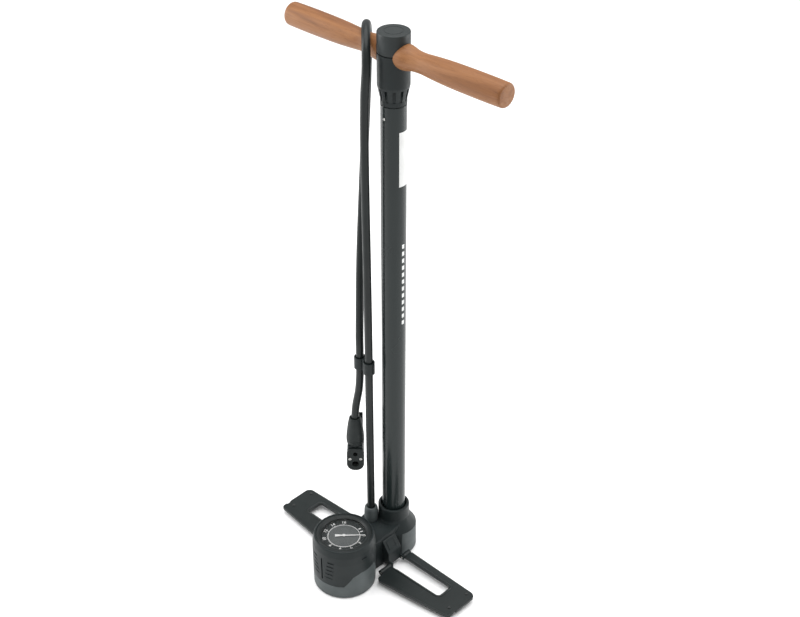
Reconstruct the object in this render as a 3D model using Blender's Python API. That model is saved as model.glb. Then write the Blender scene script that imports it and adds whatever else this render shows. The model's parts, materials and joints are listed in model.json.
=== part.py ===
"""Floor bike pump: steel barrel, plunger with wooden grips, gauge base, folding feet, hose and chuck.

Metres, +Z up.  The origin is on the ground under the barrel's axis.  The gauge is towards -Y,
and the handle and the two feet lie along X.
"""
import bmesh
import bpy
from math import asin, atan2, cos, pi, radians, sin, tan
from mathutils import Matrix, Vector

# ---------------------------------------------------------------- driving dimensions
GAP = 0.0003                    # clearance between touching pieces
MERGE = 2e-6                    # points closer than this are one point
TOTAL_HEIGHT = 0.700
TINY, SMALL, MEDIUM, LARGE = 8, 12, 20, 28     # sides of round shapes, by size

BARREL_RADIUS = 0.0143
BARREL_BORE = 0.0127
BARREL_BOTTOM = 0.0140
BARREL_TOP = 0.6190
BUSH_BOTTOM = 0.5900
BUSH_PIN_Z = 0.6050

ROD_RADIUS = 0.0050
ROD_BORE = 0.0038
ROD_TOP = 0.6695
STUD_RADIUS = 0.0030
PISTON_TOP = 0.0640

HUB_RADIUS = 0.0178
HUB_NECK_RADIUS = 0.0145
HUB_TOP = 0.6765
HUB_NOTCHES = 12
CAP_BOTTOM = 0.6775
BAR_Z = 0.6760
BAR_RADIUS = 0.0060
BAR_HALF_LENGTH = 0.1100
GRIP_END = 0.1520

DRUM_RADIUS = 0.0285
DRUM_TOP = 0.0365
COLLAR_RADIUS = 0.0195
COLLAR_BOTTOM = 0.0505
COLLAR_TOP = 0.0680
COLLAR_MOUTH = 0.0163
SHELL_BOTTOM = 0.0012
SOLE_HEIGHT = 0.0028
REAR_SOLE_RADIUS = 0.0255
FRONT_SOLE_RADIUS = 0.0345
SCREW_RADIUS = 0.0015
SCREW_HEAD_RADIUS = 0.0030
SCREW_PLACES = ((0.0125, -0.0500), (-0.0125, -0.0500), (0.0152, 0.0152), (-0.0152, 0.0152))

WALL_X = 0.0195                 # side walls of the bridge between barrel and gauge
DECK_FRONT_Z = 0.0420
DECK_REAR_Z = 0.0480
BRIDGE_FRONT_Y = -0.0700
BRIDGE_REAR_Y = -0.0080
LUG_X = 0.0305
LUG_FRONT_Y = -0.0416
LUG_REAR_Y = -0.0189
PEDESTAL_RADIUS = 0.0135

GAUGE_Y = -0.0888
GAUGE_RADIUS = 0.0383
HOOD_RADIUS = 0.0390
HOOD_RIM_RADIUS = 0.0364
HOOD_TOP = 0.0741
CASE_RADIUS = 0.0287
BEZEL_RADIUS = 0.0342
BEZEL_SEAT = 0.0690
DIAL_RADIUS = 0.0275
DIAL_TOP = 0.0688
SECTOR_PIVOT_X = -0.0105

BOSS_X = -0.0170
BOSS_Y = -0.0234
BOSS_TOP = 0.0660
BOSS_RADIUS = 0.0089
BOSS_STEM_RADIUS = 0.0050

FOOT_HINGE_X = 0.0340
FOOT_HINGE_Z = 0.0090
FOOT_TOP = 0.0098
FOOT_BOTTOM = 0.0065
FOOT_END_X = 0.1465
SLOT_END_X = 0.1140
KNUCKLE_RADIUS = 0.0033
FOOT_PIN_RADIUS = 0.0015
PAD_X = 0.1365
PAD_FRONT_Y = -0.0470
PAD_REAR_Y = -0.0150

HOSE_DIAMETER = 0.0095
HOSE_START_Z = 0.0503
CLIP_BOTTOM = 0.2725
CLIP_TOP = 0.2885
CLIP_RIGHT = (-0.0174, -0.0240)  # where the hose's rising run passes the clip
CLIP_LEFT = (-0.0332, -0.0231)   # where its hanging run passes

VIEW_TURN = radians(43.37)      # the hanging chuck and hose loop are turned by this about Z
CHUCK_ORIGIN = (-0.0369, -0.0294)   # the chuck's own axis
CHUCK_FACE = -0.0120            # front of the chuck along its own Y
CHUCK_BACK = 0.0080
SLEEVE_TOP = 0.1995
SLEEVE_BOTTOM = 0.1620
HEAD_BOTTOM = 0.1256
PRESTA_Z = 0.1507
SCHRADER_Z = 0.1358
PRESTA_PORT = 0.0030            # radius of the upper hole in the chuck's face
SCHRADER_PORT = 0.0043
CHUCK_SCREW_X = 0.0066
CHUCK_SCREW_Z = 0.1433
CHUCK_SCREW_RADIUS = 0.0009
EARS = ((-0.0030, -0.0003), (0.0097, 0.0104))   # the lever's two bearing ears, along the chuck's X
LEVER_PIVOT_Z = 0.1480
LEVER_TOP = 0.1960
LEVER_Y = 0.0118

# The line where the grey housing meets the dark shroud, seen from the side: (y, z).
SPLIT_LINE = (
    (-0.1400, 0.0195),
    (-0.1166, 0.0195),
    (-0.1074, 0.0340),
    (-0.0980, 0.0380),
    (-0.0720, 0.0380),
    (-0.0600, 0.0130),
    (-0.0130, 0.0130),
    (-0.0115, 0.0365),
    (0.0400, 0.0365),
)

# The hose's route from the base to the chuck: (x, y, z), chosen by hand.
HOSE_ROUTE = (
    (-0.0170, -0.0234, HOSE_START_Z),
    (-0.0170, -0.0234, 0.0650),
    (-0.0170, -0.0235, 0.0950),
    (-0.0172, -0.0238, 0.1800),
    (*CLIP_RIGHT, 0.2500),
    (*CLIP_RIGHT, 0.2805),
    (-0.0175, -0.0241, 0.3150),
    (-0.0179, -0.0246, 0.4100),
    (-0.0182, -0.0256, 0.5100),
    (-0.0174, -0.0268, 0.5800),
    (-0.0155, -0.0276, 0.6300),
    (-0.0139, -0.0268, 0.6600),
    (-0.0185, -0.0217, 0.6789),
    (-0.0286, -0.0115, 0.6904),
    (-0.0387, -0.0010, 0.6934),
    (-0.0484, 0.0100, 0.6903),
    (-0.0581, 0.0212, 0.6789),
    (-0.0626, 0.0260, 0.6600),
    (-0.0628, 0.0252, 0.6300),
    (-0.0612, 0.0205, 0.5800),
    (-0.0570, 0.0110, 0.5100),
    (-0.0470, -0.0060, 0.4100),
    (-0.0360, -0.0200, 0.3250),
    (-0.0333, -0.0229, 0.3000),
    (*CLIP_LEFT, 0.2805),
    (-0.0333, -0.0233, 0.2610),
    (-0.0341, -0.0246, 0.2400),
    (-0.0363, -0.0282, 0.2150),
    (-0.0369, -0.0294, 0.1930),
    (-0.0369, -0.0294, 0.1853),
)


# Re-aim a prism: outline (x, z) extruded along Y, and outline (y, z) extruded along X.
FROM_SIDE = Matrix(((1, 0, 0, 0), (0, 0, 1, 0), (0, 1, 0, 0), (0, 0, 0, 1)))
ACROSS = Matrix(((0, 0, 1, 0), (1, 0, 0, 0), (0, 1, 0, 0), (0, 0, 0, 1)))


# ---------------------------------------------------------------- materials
def material(name, colour, roughness, metallic=0.0):
    made = bpy.data.materials.new(name)
    made.use_nodes = True
    shader = made.node_tree.nodes["Principled BSDF"]
    shader.inputs["Base Color"].default_value = (*colour, 1.0)
    shader.inputs["Roughness"].default_value = roughness
    shader.inputs["Metallic"].default_value = metallic
    return made


# ---------------------------------------------------------------- shape helpers
def finish(name, bm, colour, pivot=(0.0, 0.0, 0.0)):
    """Closed mesh in world coordinates to a named object whose origin is at pivot."""
    bmesh.ops.remove_doubles(bm, verts=bm.verts, dist=MERGE)
    bmesh.ops.dissolve_degenerate(bm, dist=MERGE, edges=bm.edges)
    bmesh.ops.recalc_face_normals(bm, faces=bm.faces)
    mesh = bpy.data.meshes.new(name)
    bm.to_mesh(mesh)
    bm.free()
    mesh.transform(Matrix.Translation(-Vector(pivot)))
    made = bpy.data.objects.new(name, mesh)
    made.location = pivot
    bpy.context.collection.objects.link(made)
    if colour:
        mesh.materials.append(colour)
    mesh.shade_smooth()
    mesh.set_sharp_from_angle(angle=radians(32))
    return made


def turned(profile, steps=MEDIUM, x=0.0, y=0.0, turn=None):
    """Profile (radius, z) spun about the vertical line through x, y; turn re-aims it first."""
    bm = bmesh.new()
    verts = [bm.verts.new((radius, 0.0, z)) for radius, z in profile]
    edges = [bm.edges.new(pair) for pair in zip(verts, verts[1:])]
    if profile[0][0] > 0.0 or profile[-1][0] > 0.0:
        edges.append(bm.edges.new((verts[-1], verts[0])))
    bmesh.ops.spin(bm, geom=verts + edges, cent=(0, 0, 0), axis=(0, 0, 1), angle=2 * pi,
                   steps=steps, use_merge=True)
    move = Matrix.Translation((x, y, 0.0))
    if turn is not None:
        move = turn
    bmesh.ops.transform(bm, matrix=move, verts=bm.verts)
    return bm


def rod(radius, low, high, steps=MEDIUM, x=0.0, y=0.0, turn=None):
    return turned(((0.0, low), (radius, low), (radius, high), (0.0, high)), steps, x, y, turn)


def ring(inner, outer, low, high, steps=MEDIUM, x=0.0, y=0.0, turn=None):
    return turned(((inner, low), (outer, low), (outer, high), (inner, high)), steps, x, y, turn)


def prism(outline, low, high, turn=None):
    """Outline (x, y) extruded from low to high along Z; turn re-aims the result."""
    bm = bmesh.new()
    face = bm.faces.new([bm.verts.new((x, y, low)) for x, y in outline])
    grown = bmesh.ops.extrude_face_region(bm, geom=[face])
    lifted = [item for item in grown["geom"] if isinstance(item, bmesh.types.BMVert)]
    bmesh.ops.translate(bm, verts=lifted, vec=(0.0, 0.0, high - low))
    if turn is not None:
        bmesh.ops.transform(bm, matrix=turn, verts=bm.verts)
    return bm


def box(x0, x1, y0, y1, z0, z1, turn=None):
    return prism(((x0, y0), (x1, y0), (x1, y1), (x0, y1)), z0, z1, turn)


def rounded(corners, steps=5):
    """Polygon corners (x, y, radius) to an outline with an arc at each corner."""
    outline = []
    count = len(corners)
    for index, (x, y, radius) in enumerate(corners):
        here = Vector((x, y))
        if radius == 0.0:
            outline.append((x, y))
            continue
        before = (Vector(corners[index - 1][:2]) - here).normalized()
        after = (Vector(corners[(index + 1) % count][:2]) - here).normalized()
        half = before.angle(after) / 2
        centre = here + (before + after).normalized() * (radius / sin(half))
        first = here + before * (radius / tan(half)) - centre
        last = here + after * (radius / tan(half)) - centre
        start = atan2(first.y, first.x)
        sweep = (atan2(last.y, last.x) - start + pi) % (2 * pi) - pi
        for step in range(steps + 1):
            angle = start + sweep * step / steps
            outline.append((centre.x + radius * cos(angle), centre.y + radius * sin(angle)))
    return outline


def combine(target, bm, operation):
    """Boolean of target with a closed mesh, applied at once."""
    tool = finish("tool", bm, None)
    modifier = target.modifiers.new("Shape", "BOOLEAN")
    modifier.operation = operation
    modifier.object = tool
    modifier.solver = "EXACT"
    graph = bpy.context.evaluated_depsgraph_get()
    mesh = bpy.data.meshes.new_from_object(target.evaluated_get(graph))
    target.modifiers.clear()
    bpy.data.objects.remove(tool)
    bm = bmesh.new()
    bm.from_mesh(mesh)
    bmesh.ops.remove_doubles(bm, verts=bm.verts, dist=MERGE)
    bmesh.ops.dissolve_degenerate(bm, dist=MERGE, edges=bm.edges)
    bmesh.ops.dissolve_limit(bm, angle_limit=radians(0.05), verts=bm.verts, edges=bm.edges)
    bm.to_mesh(mesh)
    bm.free()
    mesh.name = target.name
    target.data = mesh
    return target


def cut(target, *tools):
    for tool in tools:
        combine(target, tool, "DIFFERENCE")
    return target


def fuse(target, *tools):
    for tool in tools:
        combine(target, tool, "UNION")
    return target


def copy_mesh(target):
    """The target's shape as a loose mesh, for use as a Boolean tool."""
    bm = bmesh.new()
    bm.from_mesh(target.data)
    bmesh.ops.transform(bm, matrix=Matrix.Translation(target.location), verts=bm.verts)
    return bm


def along_x(z, y=0.0):
    """Turns a shape built along Z so that it lies along X at this height."""
    return Matrix.Translation((0.0, y, z)) @ Matrix.Rotation(pi / 2, 4, "Y")


def along_y(x, z):
    """Turns a shape built along Z so that it lies along Y at this place."""
    return Matrix.Translation((x, 0.0, z)) @ Matrix.Rotation(-pi / 2, 4, "X")


def side_profile(outline, half_width):
    """Outline (y, z) extruded across X on both sides of the middle."""
    return prism(outline, -half_width, half_width, ACROSS)


# ---------------------------------------------------------------- base: housing and shroud
def base_block():
    """The whole base as one solid, before it is split into its two shells."""
    gauge = ((0.0, SHELL_BOTTOM), (GAUGE_RADIUS - 0.0006, SHELL_BOTTOM), (GAUGE_RADIUS, 0.0020),
             (HOOD_RADIUS - 0.0002, 0.0400), (HOOD_RADIUS, 0.0540), (HOOD_RADIUS - 0.0003, 0.0640),
             (HOOD_RADIUS - 0.0010, 0.0700), (HOOD_RIM_RADIUS + 0.0006, 0.0730),
             (HOOD_RIM_RADIUS, HOOD_TOP), (0.0, HOOD_TOP))
    block = finish("base_block", turned(gauge, 36, 0.0, GAUGE_Y), None)
    drum = ((0.0, SHELL_BOTTOM), (DRUM_RADIUS - 0.0006, SHELL_BOTTOM), (DRUM_RADIUS, 0.0020),
            (DRUM_RADIUS, DRUM_TOP - 0.0010), (DRUM_RADIUS - 0.0010, DRUM_TOP),
            (COLLAR_RADIUS, COLLAR_BOTTOM), (COLLAR_RADIUS, COLLAR_TOP - 0.0010),
            (COLLAR_RADIUS - 0.0010, COLLAR_TOP), (0.0, COLLAR_TOP))
    bridge = ((BRIDGE_FRONT_Y, SHELL_BOTTOM), (BRIDGE_REAR_Y, SHELL_BOTTOM),
              (BRIDGE_REAR_Y, DECK_REAR_Z), (BRIDGE_FRONT_Y, DECK_FRONT_Z - 0.0010))
    fuse(block, side_profile(bridge, WALL_X))
    fuse(block, rod(PEDESTAL_RADIUS, SHELL_BOTTOM + 0.0002, 0.0440, MEDIUM, BOSS_X, BOSS_Y))
    fuse(block, turned(drum, LARGE))
    for side in (1, -1):
        lug = ((side * 0.0150, 0.0400), (side * (WALL_X + 0.0010), 0.0400), (side * LUG_X, 0.0250),
               (side * LUG_X, 0.0060), (side * 0.0150, 0.0060))
        fuse(block, prism(lug, LUG_FRONT_Y, LUG_REAR_Y, FROM_SIDE))
        for low in (LUG_FRONT_Y + 0.0001, LUG_REAR_Y - 0.0026):
            x0, x1 = sorted((side * (LUG_X - 0.0020), side * (FOOT_HINGE_X + 0.0027)))
            fuse(block, box(x0, x1, low, low + 0.0025, 0.0062, 0.0123))
    return block


def shroud_region(grow):
    """All of the space that the dark shroud takes, enlarged by grow."""
    low = [(y, z - grow) for y, z in SPLIT_LINE]
    outline = low + [(0.0400, 0.0900), (-0.1400, 0.0900)]
    region = finish("region", side_profile(outline, 0.0600), None)
    for side in (1, -1):
        x0, x1 = sorted((side * (0.0165 - grow), side * 0.0600))
        fuse(region, box(x0, x1, -0.0545 - grow, -0.0125 + grow, -0.0010, 0.0300))
    bm = copy_mesh(region)
    bpy.data.objects.remove(region)
    return bm


def base_shells(housing_grey, shroud_black):
    block = base_block()
    housing = finish("base_housing", copy_mesh(block), housing_grey)
    shroud = finish("base_shroud", copy_mesh(block), shroud_black)
    bpy.data.objects.remove(block)
    combine(shroud, shroud_region(0.0), "INTERSECT")
    combine(housing, shroud_region(GAP), "DIFFERENCE")
    for shell in (housing, shroud):
        cut(shell, rod(BARREL_RADIUS + GAP, BARREL_BOTTOM - 0.0038, 0.1, 32))
        cut(shell, rod(BOSS_STEM_RADIUS + GAP, 0.0068, 0.1, SMALL, BOSS_X, BOSS_Y))
        cut(shell, rod(REAR_SOLE_RADIUS + GAP, -0.001, SOLE_HEIGHT + GAP, LARGE))
        cut(shell, rod(FRONT_SOLE_RADIUS + GAP, -0.001, SOLE_HEIGHT + GAP, LARGE, 0.0, GAUGE_Y))
    # underneath the housing: hollow ring and air passages
    hollow = finish("hollow", ring(0.0125, 0.0325, 0.0010, 0.0155, 28, 0.0, GAUGE_Y), None)
    cut(hollow, box(-0.0060, 0.0060, GAUGE_Y, -0.0400, -0.01, 0.05))
    cut(housing, copy_mesh(hollow))
    bpy.data.objects.remove(hollow)
    cut(housing, rod(0.0105, 0.0064, 0.0200, MEDIUM))
    cut(housing, box(-0.0022, 0.0022, GAUGE_Y, 0.0, 0.0066, 0.0096))
    cut(housing, rod(0.0043, 0.0064, 0.0500, SMALL, 0.0, GAUGE_Y))
    cut(housing, box(BOSS_X, 0.0, BOSS_Y - 0.0022, BOSS_Y + 0.0022, 0.0066, 0.0096))
    # inside the shroud: gauge well, bezel seat, boss pocket, collar mouth, hollow bridge
    cut(shroud, rod(0.0340, 0.0100, 0.0660, LARGE, 0.0, GAUGE_Y))
    cut(shroud, rod(0.0294, 0.0600, 0.0800, LARGE, 0.0, GAUGE_Y))
    cut(shroud, rod(BEZEL_RADIUS + GAP, BEZEL_SEAT, 0.0800, LARGE, 0.0, GAUGE_Y))
    cut(shroud, rod(BOSS_RADIUS + 0.0005, 0.0398, 0.0800, MEDIUM, BOSS_X, BOSS_Y))
    cut(shroud, rod(COLLAR_MOUTH, 0.0580, 0.0800, 32))
    cut(shroud, box(-0.0085, 0.0085, -0.0640, -0.0175, 0.0100, 0.0375))
    for x, y in SCREW_PLACES:
        cut(housing, rod(SCREW_RADIUS + GAP, -0.001, 0.0500, TINY, x, y))
        cut(housing, rod(SCREW_HEAD_RADIUS + GAP, -0.001, 0.0064, SMALL, x, y))
        cut(shroud, rod(SCREW_RADIUS + GAP, -0.001, 0.0412, TINY, x, y))
    for side in (1, -1):
        hinge = along_y(side * FOOT_HINGE_X, FOOT_HINGE_Z)
        cut(shroud, rod(FOOT_PIN_RADIUS + GAP, -0.0700, -0.0050, TINY, turn=hinge))
    return housing, shroud


def base_details(rubber, steel, housing_grey, brass):
    finish("rear_sole", rod(REAR_SOLE_RADIUS, 0.0, SOLE_HEIGHT, LARGE), rubber)
    finish("front_sole", rod(FRONT_SOLE_RADIUS, 0.0, SOLE_HEIGHT, LARGE, 0.0, GAUGE_Y), rubber)
    names = ("base_screw_front_right", "base_screw_front_left", "base_screw_rear_right",
             "base_screw_rear_left")
    shank = ((0.0, 0.0036), (SCREW_HEAD_RADIUS, 0.0036), (SCREW_HEAD_RADIUS, 0.0060),
             (SCREW_RADIUS, 0.0060), (SCREW_RADIUS, 0.0400), (0.0, 0.0405))
    for name, (x, y) in zip(names, SCREW_PLACES):
        finish(name, turned(shank, TINY, x, y), steel)
    boss = ((0.0015, 0.0105), (BOSS_STEM_RADIUS, 0.0105), (BOSS_STEM_RADIUS, 0.0403), (0.0070, 0.0412),
            (0.0083, 0.0438), (BOSS_RADIUS, 0.0480), (BOSS_RADIUS, 0.0560), (0.0086, 0.0620),
            (0.0081, 0.0652), (0.0073, BOSS_TOP), (0.0052, BOSS_TOP), (0.0052, 0.0500),
            (0.0043, 0.0500), (0.0043, 0.0437), (0.0015, 0.0437))
    finish("hose_boss", turned(boss, 20, BOSS_X, BOSS_Y), housing_grey)
    insert = ((0.0016, 0.0440), (0.0040, 0.0440), (0.0040, 0.0499), (0.0016, 0.0499))
    finish("hose_insert", turned(insert, SMALL, BOSS_X, BOSS_Y), brass)


# ---------------------------------------------------------------- barrel and its fittings
def barrel_group(paint, plastic, rubber, steel, felt):
    barrel = finish("barrel", ring(BARREL_BORE, BARREL_RADIUS, BARREL_BOTTOM, BARREL_TOP, 32), paint)
    pin_axis = along_y(0.0, BUSH_PIN_Z)
    cut(barrel, rod(0.0019, -0.0200, 0.0, TINY, turn=pin_axis))
    plug = ((0.0030, 0.0175), (0.0075, 0.0175), (0.0075, 0.0105), (BARREL_RADIUS, 0.0105),
            (BARREL_RADIUS, 0.0137), (0.0124, 0.0137), (0.0124, 0.0242), (0.0100, 0.0242),
            (0.0100, 0.0273), (0.0124, 0.0273), (0.0124, 0.0330), (0.0118, 0.0340), (0.0030, 0.0340))
    finish("barrel_plug", turned(plug, MEDIUM), plastic)
    seal = [(0.0113 + 0.0011 * cos(a), 0.02575 + 0.0011 * sin(a))
            for a in (2 * pi * step / 6 for step in range(6))]
    finish("plug_seal", turned(seal, MEDIUM), rubber)
    finish("check_valve", rod(0.0060, 0.0157, 0.0172, SMALL), rubber, (0.0, 0.0, 0.0172))
    finish("check_valve_spring", coil(0.0042, 0.00035, 0.0073, 0.0150, 4), steel)
    bush = ((ROD_RADIUS + GAP, BUSH_BOTTOM), (0.0116, BUSH_BOTTOM), (0.0124, BUSH_BOTTOM + 0.0010),
            (0.0124, 0.6185), (0.0090, 0.6185), (0.0090, 0.6142), (ROD_RADIUS + GAP, 0.6142))
    guide = finish("rod_guide", turned(bush, MEDIUM), plastic)
    cut(guide, rod(0.0019, -0.0200, -0.0098, TINY, turn=pin_axis))
    finish("rod_wiper", ring(ROD_RADIUS + GAP, 0.0087, 0.6145, 0.6183, 20), felt)
    pin = ((0.0, -0.0152), (0.0012, -0.0151), (0.0016, -0.0147), (0.0016, -0.0102), (0.0, -0.0102))
    finish("guide_pin", turned(pin, TINY, turn=pin_axis), steel)


def coil(radius, wire, low, high, turns):
    """A coil spring as a swept round wire."""
    bm = bmesh.new()
    steps = 11 * turns
    rings = []
    for step in range(steps + 1):
        angle = 2 * pi * turns * step / steps
        height = low + (high - low) * step / steps
        out = Vector((cos(angle), sin(angle), 0.0))
        centre = out * radius + Vector((0.0, 0.0, height))
        corners = [centre + out * wire * cos(a) + Vector((0.0, 0.0, wire * sin(a)))
                   for a in (2 * pi * corner / 5 for corner in range(5))]
        rings.append([bm.verts.new(corner) for corner in corners])
    for first, second in zip(rings, rings[1:]):
        for corner in range(5):
            after = (corner + 1) % 5
            bm.faces.new((first[corner], first[after], second[after], second[corner]))
    bm.faces.new(rings[0])
    bm.faces.new(rings[-1])
    return bm


# ---------------------------------------------------------------- plunger and handle
def plunger_group(steel, plastic, rubber, hub_black, wood):
    stem = ((0.0, 0.0360), (STUD_RADIUS, 0.0365), (STUD_RADIUS, 0.0583), (ROD_RADIUS, 0.0583),
            (ROD_RADIUS, ROD_TOP), (ROD_BORE, ROD_TOP), (ROD_BORE, 0.0700), (0.0, 0.0690))
    finish("plunger_rod", turned(stem, 20), steel)
    piston = ((STUD_RADIUS + GAP, 0.0503), (0.0114, 0.0503), (0.0119, 0.0512),
              (0.0119, PISTON_TOP - 0.0010), (0.0109, PISTON_TOP), (ROD_RADIUS + GAP, PISTON_TOP),
              (ROD_RADIUS + GAP, 0.0580), (STUD_RADIUS + GAP, 0.0580))
    finish("piston", turned(piston, MEDIUM), plastic)
    cup = ((STUD_RADIUS + GAP, 0.0480), (0.0100, 0.0480), (0.0106, 0.0425), (0.0120, 0.0423),
           (0.0123, 0.0440), (0.0121, 0.0490), (0.0110, 0.0500), (STUD_RADIUS + GAP, 0.0500))
    finish("piston_cup", turned(cup, MEDIUM), rubber)
    finish("piston_washer", ring(STUD_RADIUS + GAP, 0.0085, 0.0460, 0.0475, 20), steel)
    hexagon = [(0.0056 * cos(a), 0.0056 * sin(a)) for a in (pi / 3 * step for step in range(6))]
    nut = finish("piston_nut", prism(hexagon, 0.0415, 0.0457), steel)
    cut(nut, rod(STUD_RADIUS + GAP, 0.0300, 0.0600, 12))

    across = along_x(BAR_Z)
    hub_profile = ((ROD_RADIUS + GAP, 0.6195), (HUB_NECK_RADIUS, 0.6195), (HUB_NECK_RADIUS, 0.6256),
                   (HUB_RADIUS, 0.6410), (HUB_RADIUS, HUB_TOP), (ROD_RADIUS + GAP, HUB_TOP))
    hub = finish("handle_hub", turned(hub_profile, LARGE), hub_black)
    for step in range(HUB_NOTCHES):
        turn = Matrix.Rotation(2 * pi * (step + 0.5) / HUB_NOTCHES, 4, "Z")
        cut(hub, box(0.0131, 0.0300, -0.0022, 0.0022, 0.6220, 0.6375, turn))
    cut(hub, rod(BAR_RADIUS + GAP, -0.03, 0.03, SMALL, turn=across))
    cap_profile = ((0.0, 0.6885), (0.0062, 0.6885), (0.0062, CAP_BOTTOM), (HUB_RADIUS, CAP_BOTTOM),
                   (HUB_RADIUS, TOTAL_HEIGHT - 0.0012), (HUB_RADIUS - 0.0003, TOTAL_HEIGHT - 0.0004),
                   (HUB_RADIUS - 0.0012, TOTAL_HEIGHT), (0.0, TOTAL_HEIGHT))
    cap = finish("handle_cap", turned(cap_profile, LARGE), hub_black)
    cut(cap, rod(BAR_RADIUS + GAP, -0.03, 0.03, SMALL, turn=across))
    bar = finish("handle_bar", ring(0.0046, BAR_RADIUS, -BAR_HALF_LENGTH, BAR_HALF_LENGTH, 20,
                                    turn=across), steel)
    cut(bar, rod(STUD_RADIUS + GAP, 0.6600, 0.7000, 12))
    screw = ((0.0, 0.6400), (STUD_RADIUS, 0.6405), (STUD_RADIUS, 0.6823), (0.0055, 0.6823),
             (0.0055, 0.6868), (0.0048, 0.6875), (0.0, 0.6875))
    finish("handle_screw", turned(screw, SMALL), steel)
    grip(wood, "right_grip", 1)
    grip(wood, "left_grip", -1)


def grip(wood, name, side):
    """Turned wooden half, hollowed at its inner end to sit round the hub."""
    swell = ((0.0100, 0.0139), (0.0186, 0.0139), (0.0235, 0.0131), (0.0290, 0.0118), (0.0350, 0.0112),
             (0.0420, 0.0110), (0.0500, 0.0115), (0.0600, 0.0122), (0.0720, 0.0128), (0.0850, 0.0132),
             (0.1000, 0.0134), (0.1180, 0.0135), (0.1350, 0.0134), (0.1470, 0.0132), (0.1500, 0.0129),
             (0.1513, 0.0122), (GRIP_END, 0.0108))
    bore = BAR_RADIUS + GAP
    profile = [(bore, 0.0100)] + [(radius, x) for x, radius in swell]
    profile += [(0.0, GRIP_END), (0.0, BAR_HALF_LENGTH + 0.0010), (bore, BAR_HALF_LENGTH + 0.0005)]
    turn = along_x(BAR_Z)
    if side < 0:
        turn = Matrix.Rotation(pi, 4, "Z") @ turn
    made = finish(name, turned_closed(profile, MEDIUM, turn), wood)
    cut(made, rod(HUB_RADIUS + GAP, 0.6000, 0.7500, LARGE))


def turned_closed(profile, steps, turn):
    """Spin of a profile that touches the axis in the middle of its run."""
    start = profile.index((0.0, GRIP_END))
    ordered = profile[start + 1:] + profile[:start + 1]
    return turned(ordered, steps, turn=turn)


# ---------------------------------------------------------------- gauge
def gauge_group(steel, brass, white, black, glass, plastic):
    y = GAUGE_Y
    case = ((0.0045, 0.0420), (CASE_RADIUS, 0.0420), (CASE_RADIUS, 0.0693), (0.0338, 0.0693),
            (0.0338, 0.0703), (0.0279, 0.0703), (0.0279, 0.0431), (0.0045, 0.0431))
    finish("gauge_case", turned(case, 28, 0.0, y), steel)
    finish("gauge_dial", ring(0.0013, DIAL_RADIUS, 0.0680, DIAL_TOP, LARGE, 0.0, y), black)
    finish("gauge_lens", rod(0.0299, 0.0706, 0.0716, LARGE, 0.0, y), glass)
    bezel = ((0.0273, 0.0719), (0.0303, 0.0719), (0.0303, 0.0706), (BEZEL_RADIUS, 0.0706),
             (BEZEL_RADIUS, 0.0736), (0.0336, HOOD_TOP), (0.0312, HOOD_TOP), (0.0300, 0.0738))
    finish("gauge_bezel", turned(bezel, LARGE, 0.0, y), plastic)

    socket = finish("gauge_socket", rod(0.0040, 0.0105, 0.0440, SMALL, 0.0, y), brass)
    fuse(socket, box(-0.0040, 0.0040, y - 0.0250, y + 0.0045, 0.0435, 0.0560))
    cut(socket, rod(0.0012, 0.0000, 0.0500, TINY, 0.0, y))
    tube = arc_band(0.0217, 0.0233, radians(-76), radians(165), 0.0470, 0.0530)
    finish("bourdon_tube", tube, brass)
    plate_shape = box(-0.0150, 0.0060, y - 0.0065, y + 0.0065, 0.0600, 0.0610)
    plate = finish("movement_plate", plate_shape, brass)
    fuse(plate, rod(0.0013, 0.0564, 0.0605, TINY, 0.0030, y - 0.0050))
    fuse(plate, rod(0.0013, 0.0564, 0.0605, TINY, 0.0030, y + 0.0035))
    cut(plate, rod(0.0011, 0.0500, 0.0700, TINY, 0.0, y))
    cut(plate, rod(0.0013, 0.0500, 0.0700, TINY, SECTOR_PIVOT_X, y))
    axis = (0.0, y, 0.0)
    arbor = ((0.0, 0.0590), (0.0008, 0.0590), (0.0008, 0.0619), (0.0013, 0.0619), (0.0013, 0.0633),
             (0.0008, 0.0633), (0.0008, 0.0691), (0.0, 0.0691))
    finish("needle_arbor", turned(arbor, TINY, 0.0, y), brass, axis)
    finish("gauge_sector", sector(), brass, (SECTOR_PIVOT_X, y, 0.0))
    finish("gauge_needle", needle(), white, axis)


def arc_band(inner, outer, start, stop, low, high, steps=18):
    """A flat bent band round the gauge's axis."""
    angles = [start + (stop - start) * step / steps for step in range(steps + 1)]
    outline = [(outer * cos(a), GAUGE_Y + outer * sin(a)) for a in angles]
    outline += [(inner * cos(a), GAUGE_Y + inner * sin(a)) for a in reversed(angles)]
    return prism(outline, low, high)


def sector():
    """Toothed fan on its own pivot, with a short tail."""
    teeth = 12
    first = radians(-42)
    span = radians(48)
    outline = []
    for step in range(2 * teeth + 1):
        angle = first + span * step / (2 * teeth)
        reach = 0.0086 if step % 2 else 0.0081
        outline.append((reach * cos(angle), reach * sin(angle)))
    outline += [(0.0012, 0.0016), (-0.0030, 0.0012), (-0.0034, 0.0), (-0.0030, -0.0012),
                (0.0012, -0.0020)]
    flat = [(SECTOR_PIVOT_X + x, GAUGE_Y + y) for x, y in outline]
    made = finish("fan", prism(flat, 0.0621, 0.0631), None)
    fuse(made, rod(0.0009, 0.0588, 0.0636, TINY, SECTOR_PIVOT_X, GAUGE_Y))
    bm = copy_mesh(made)
    bpy.data.objects.remove(made)
    return bm


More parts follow.
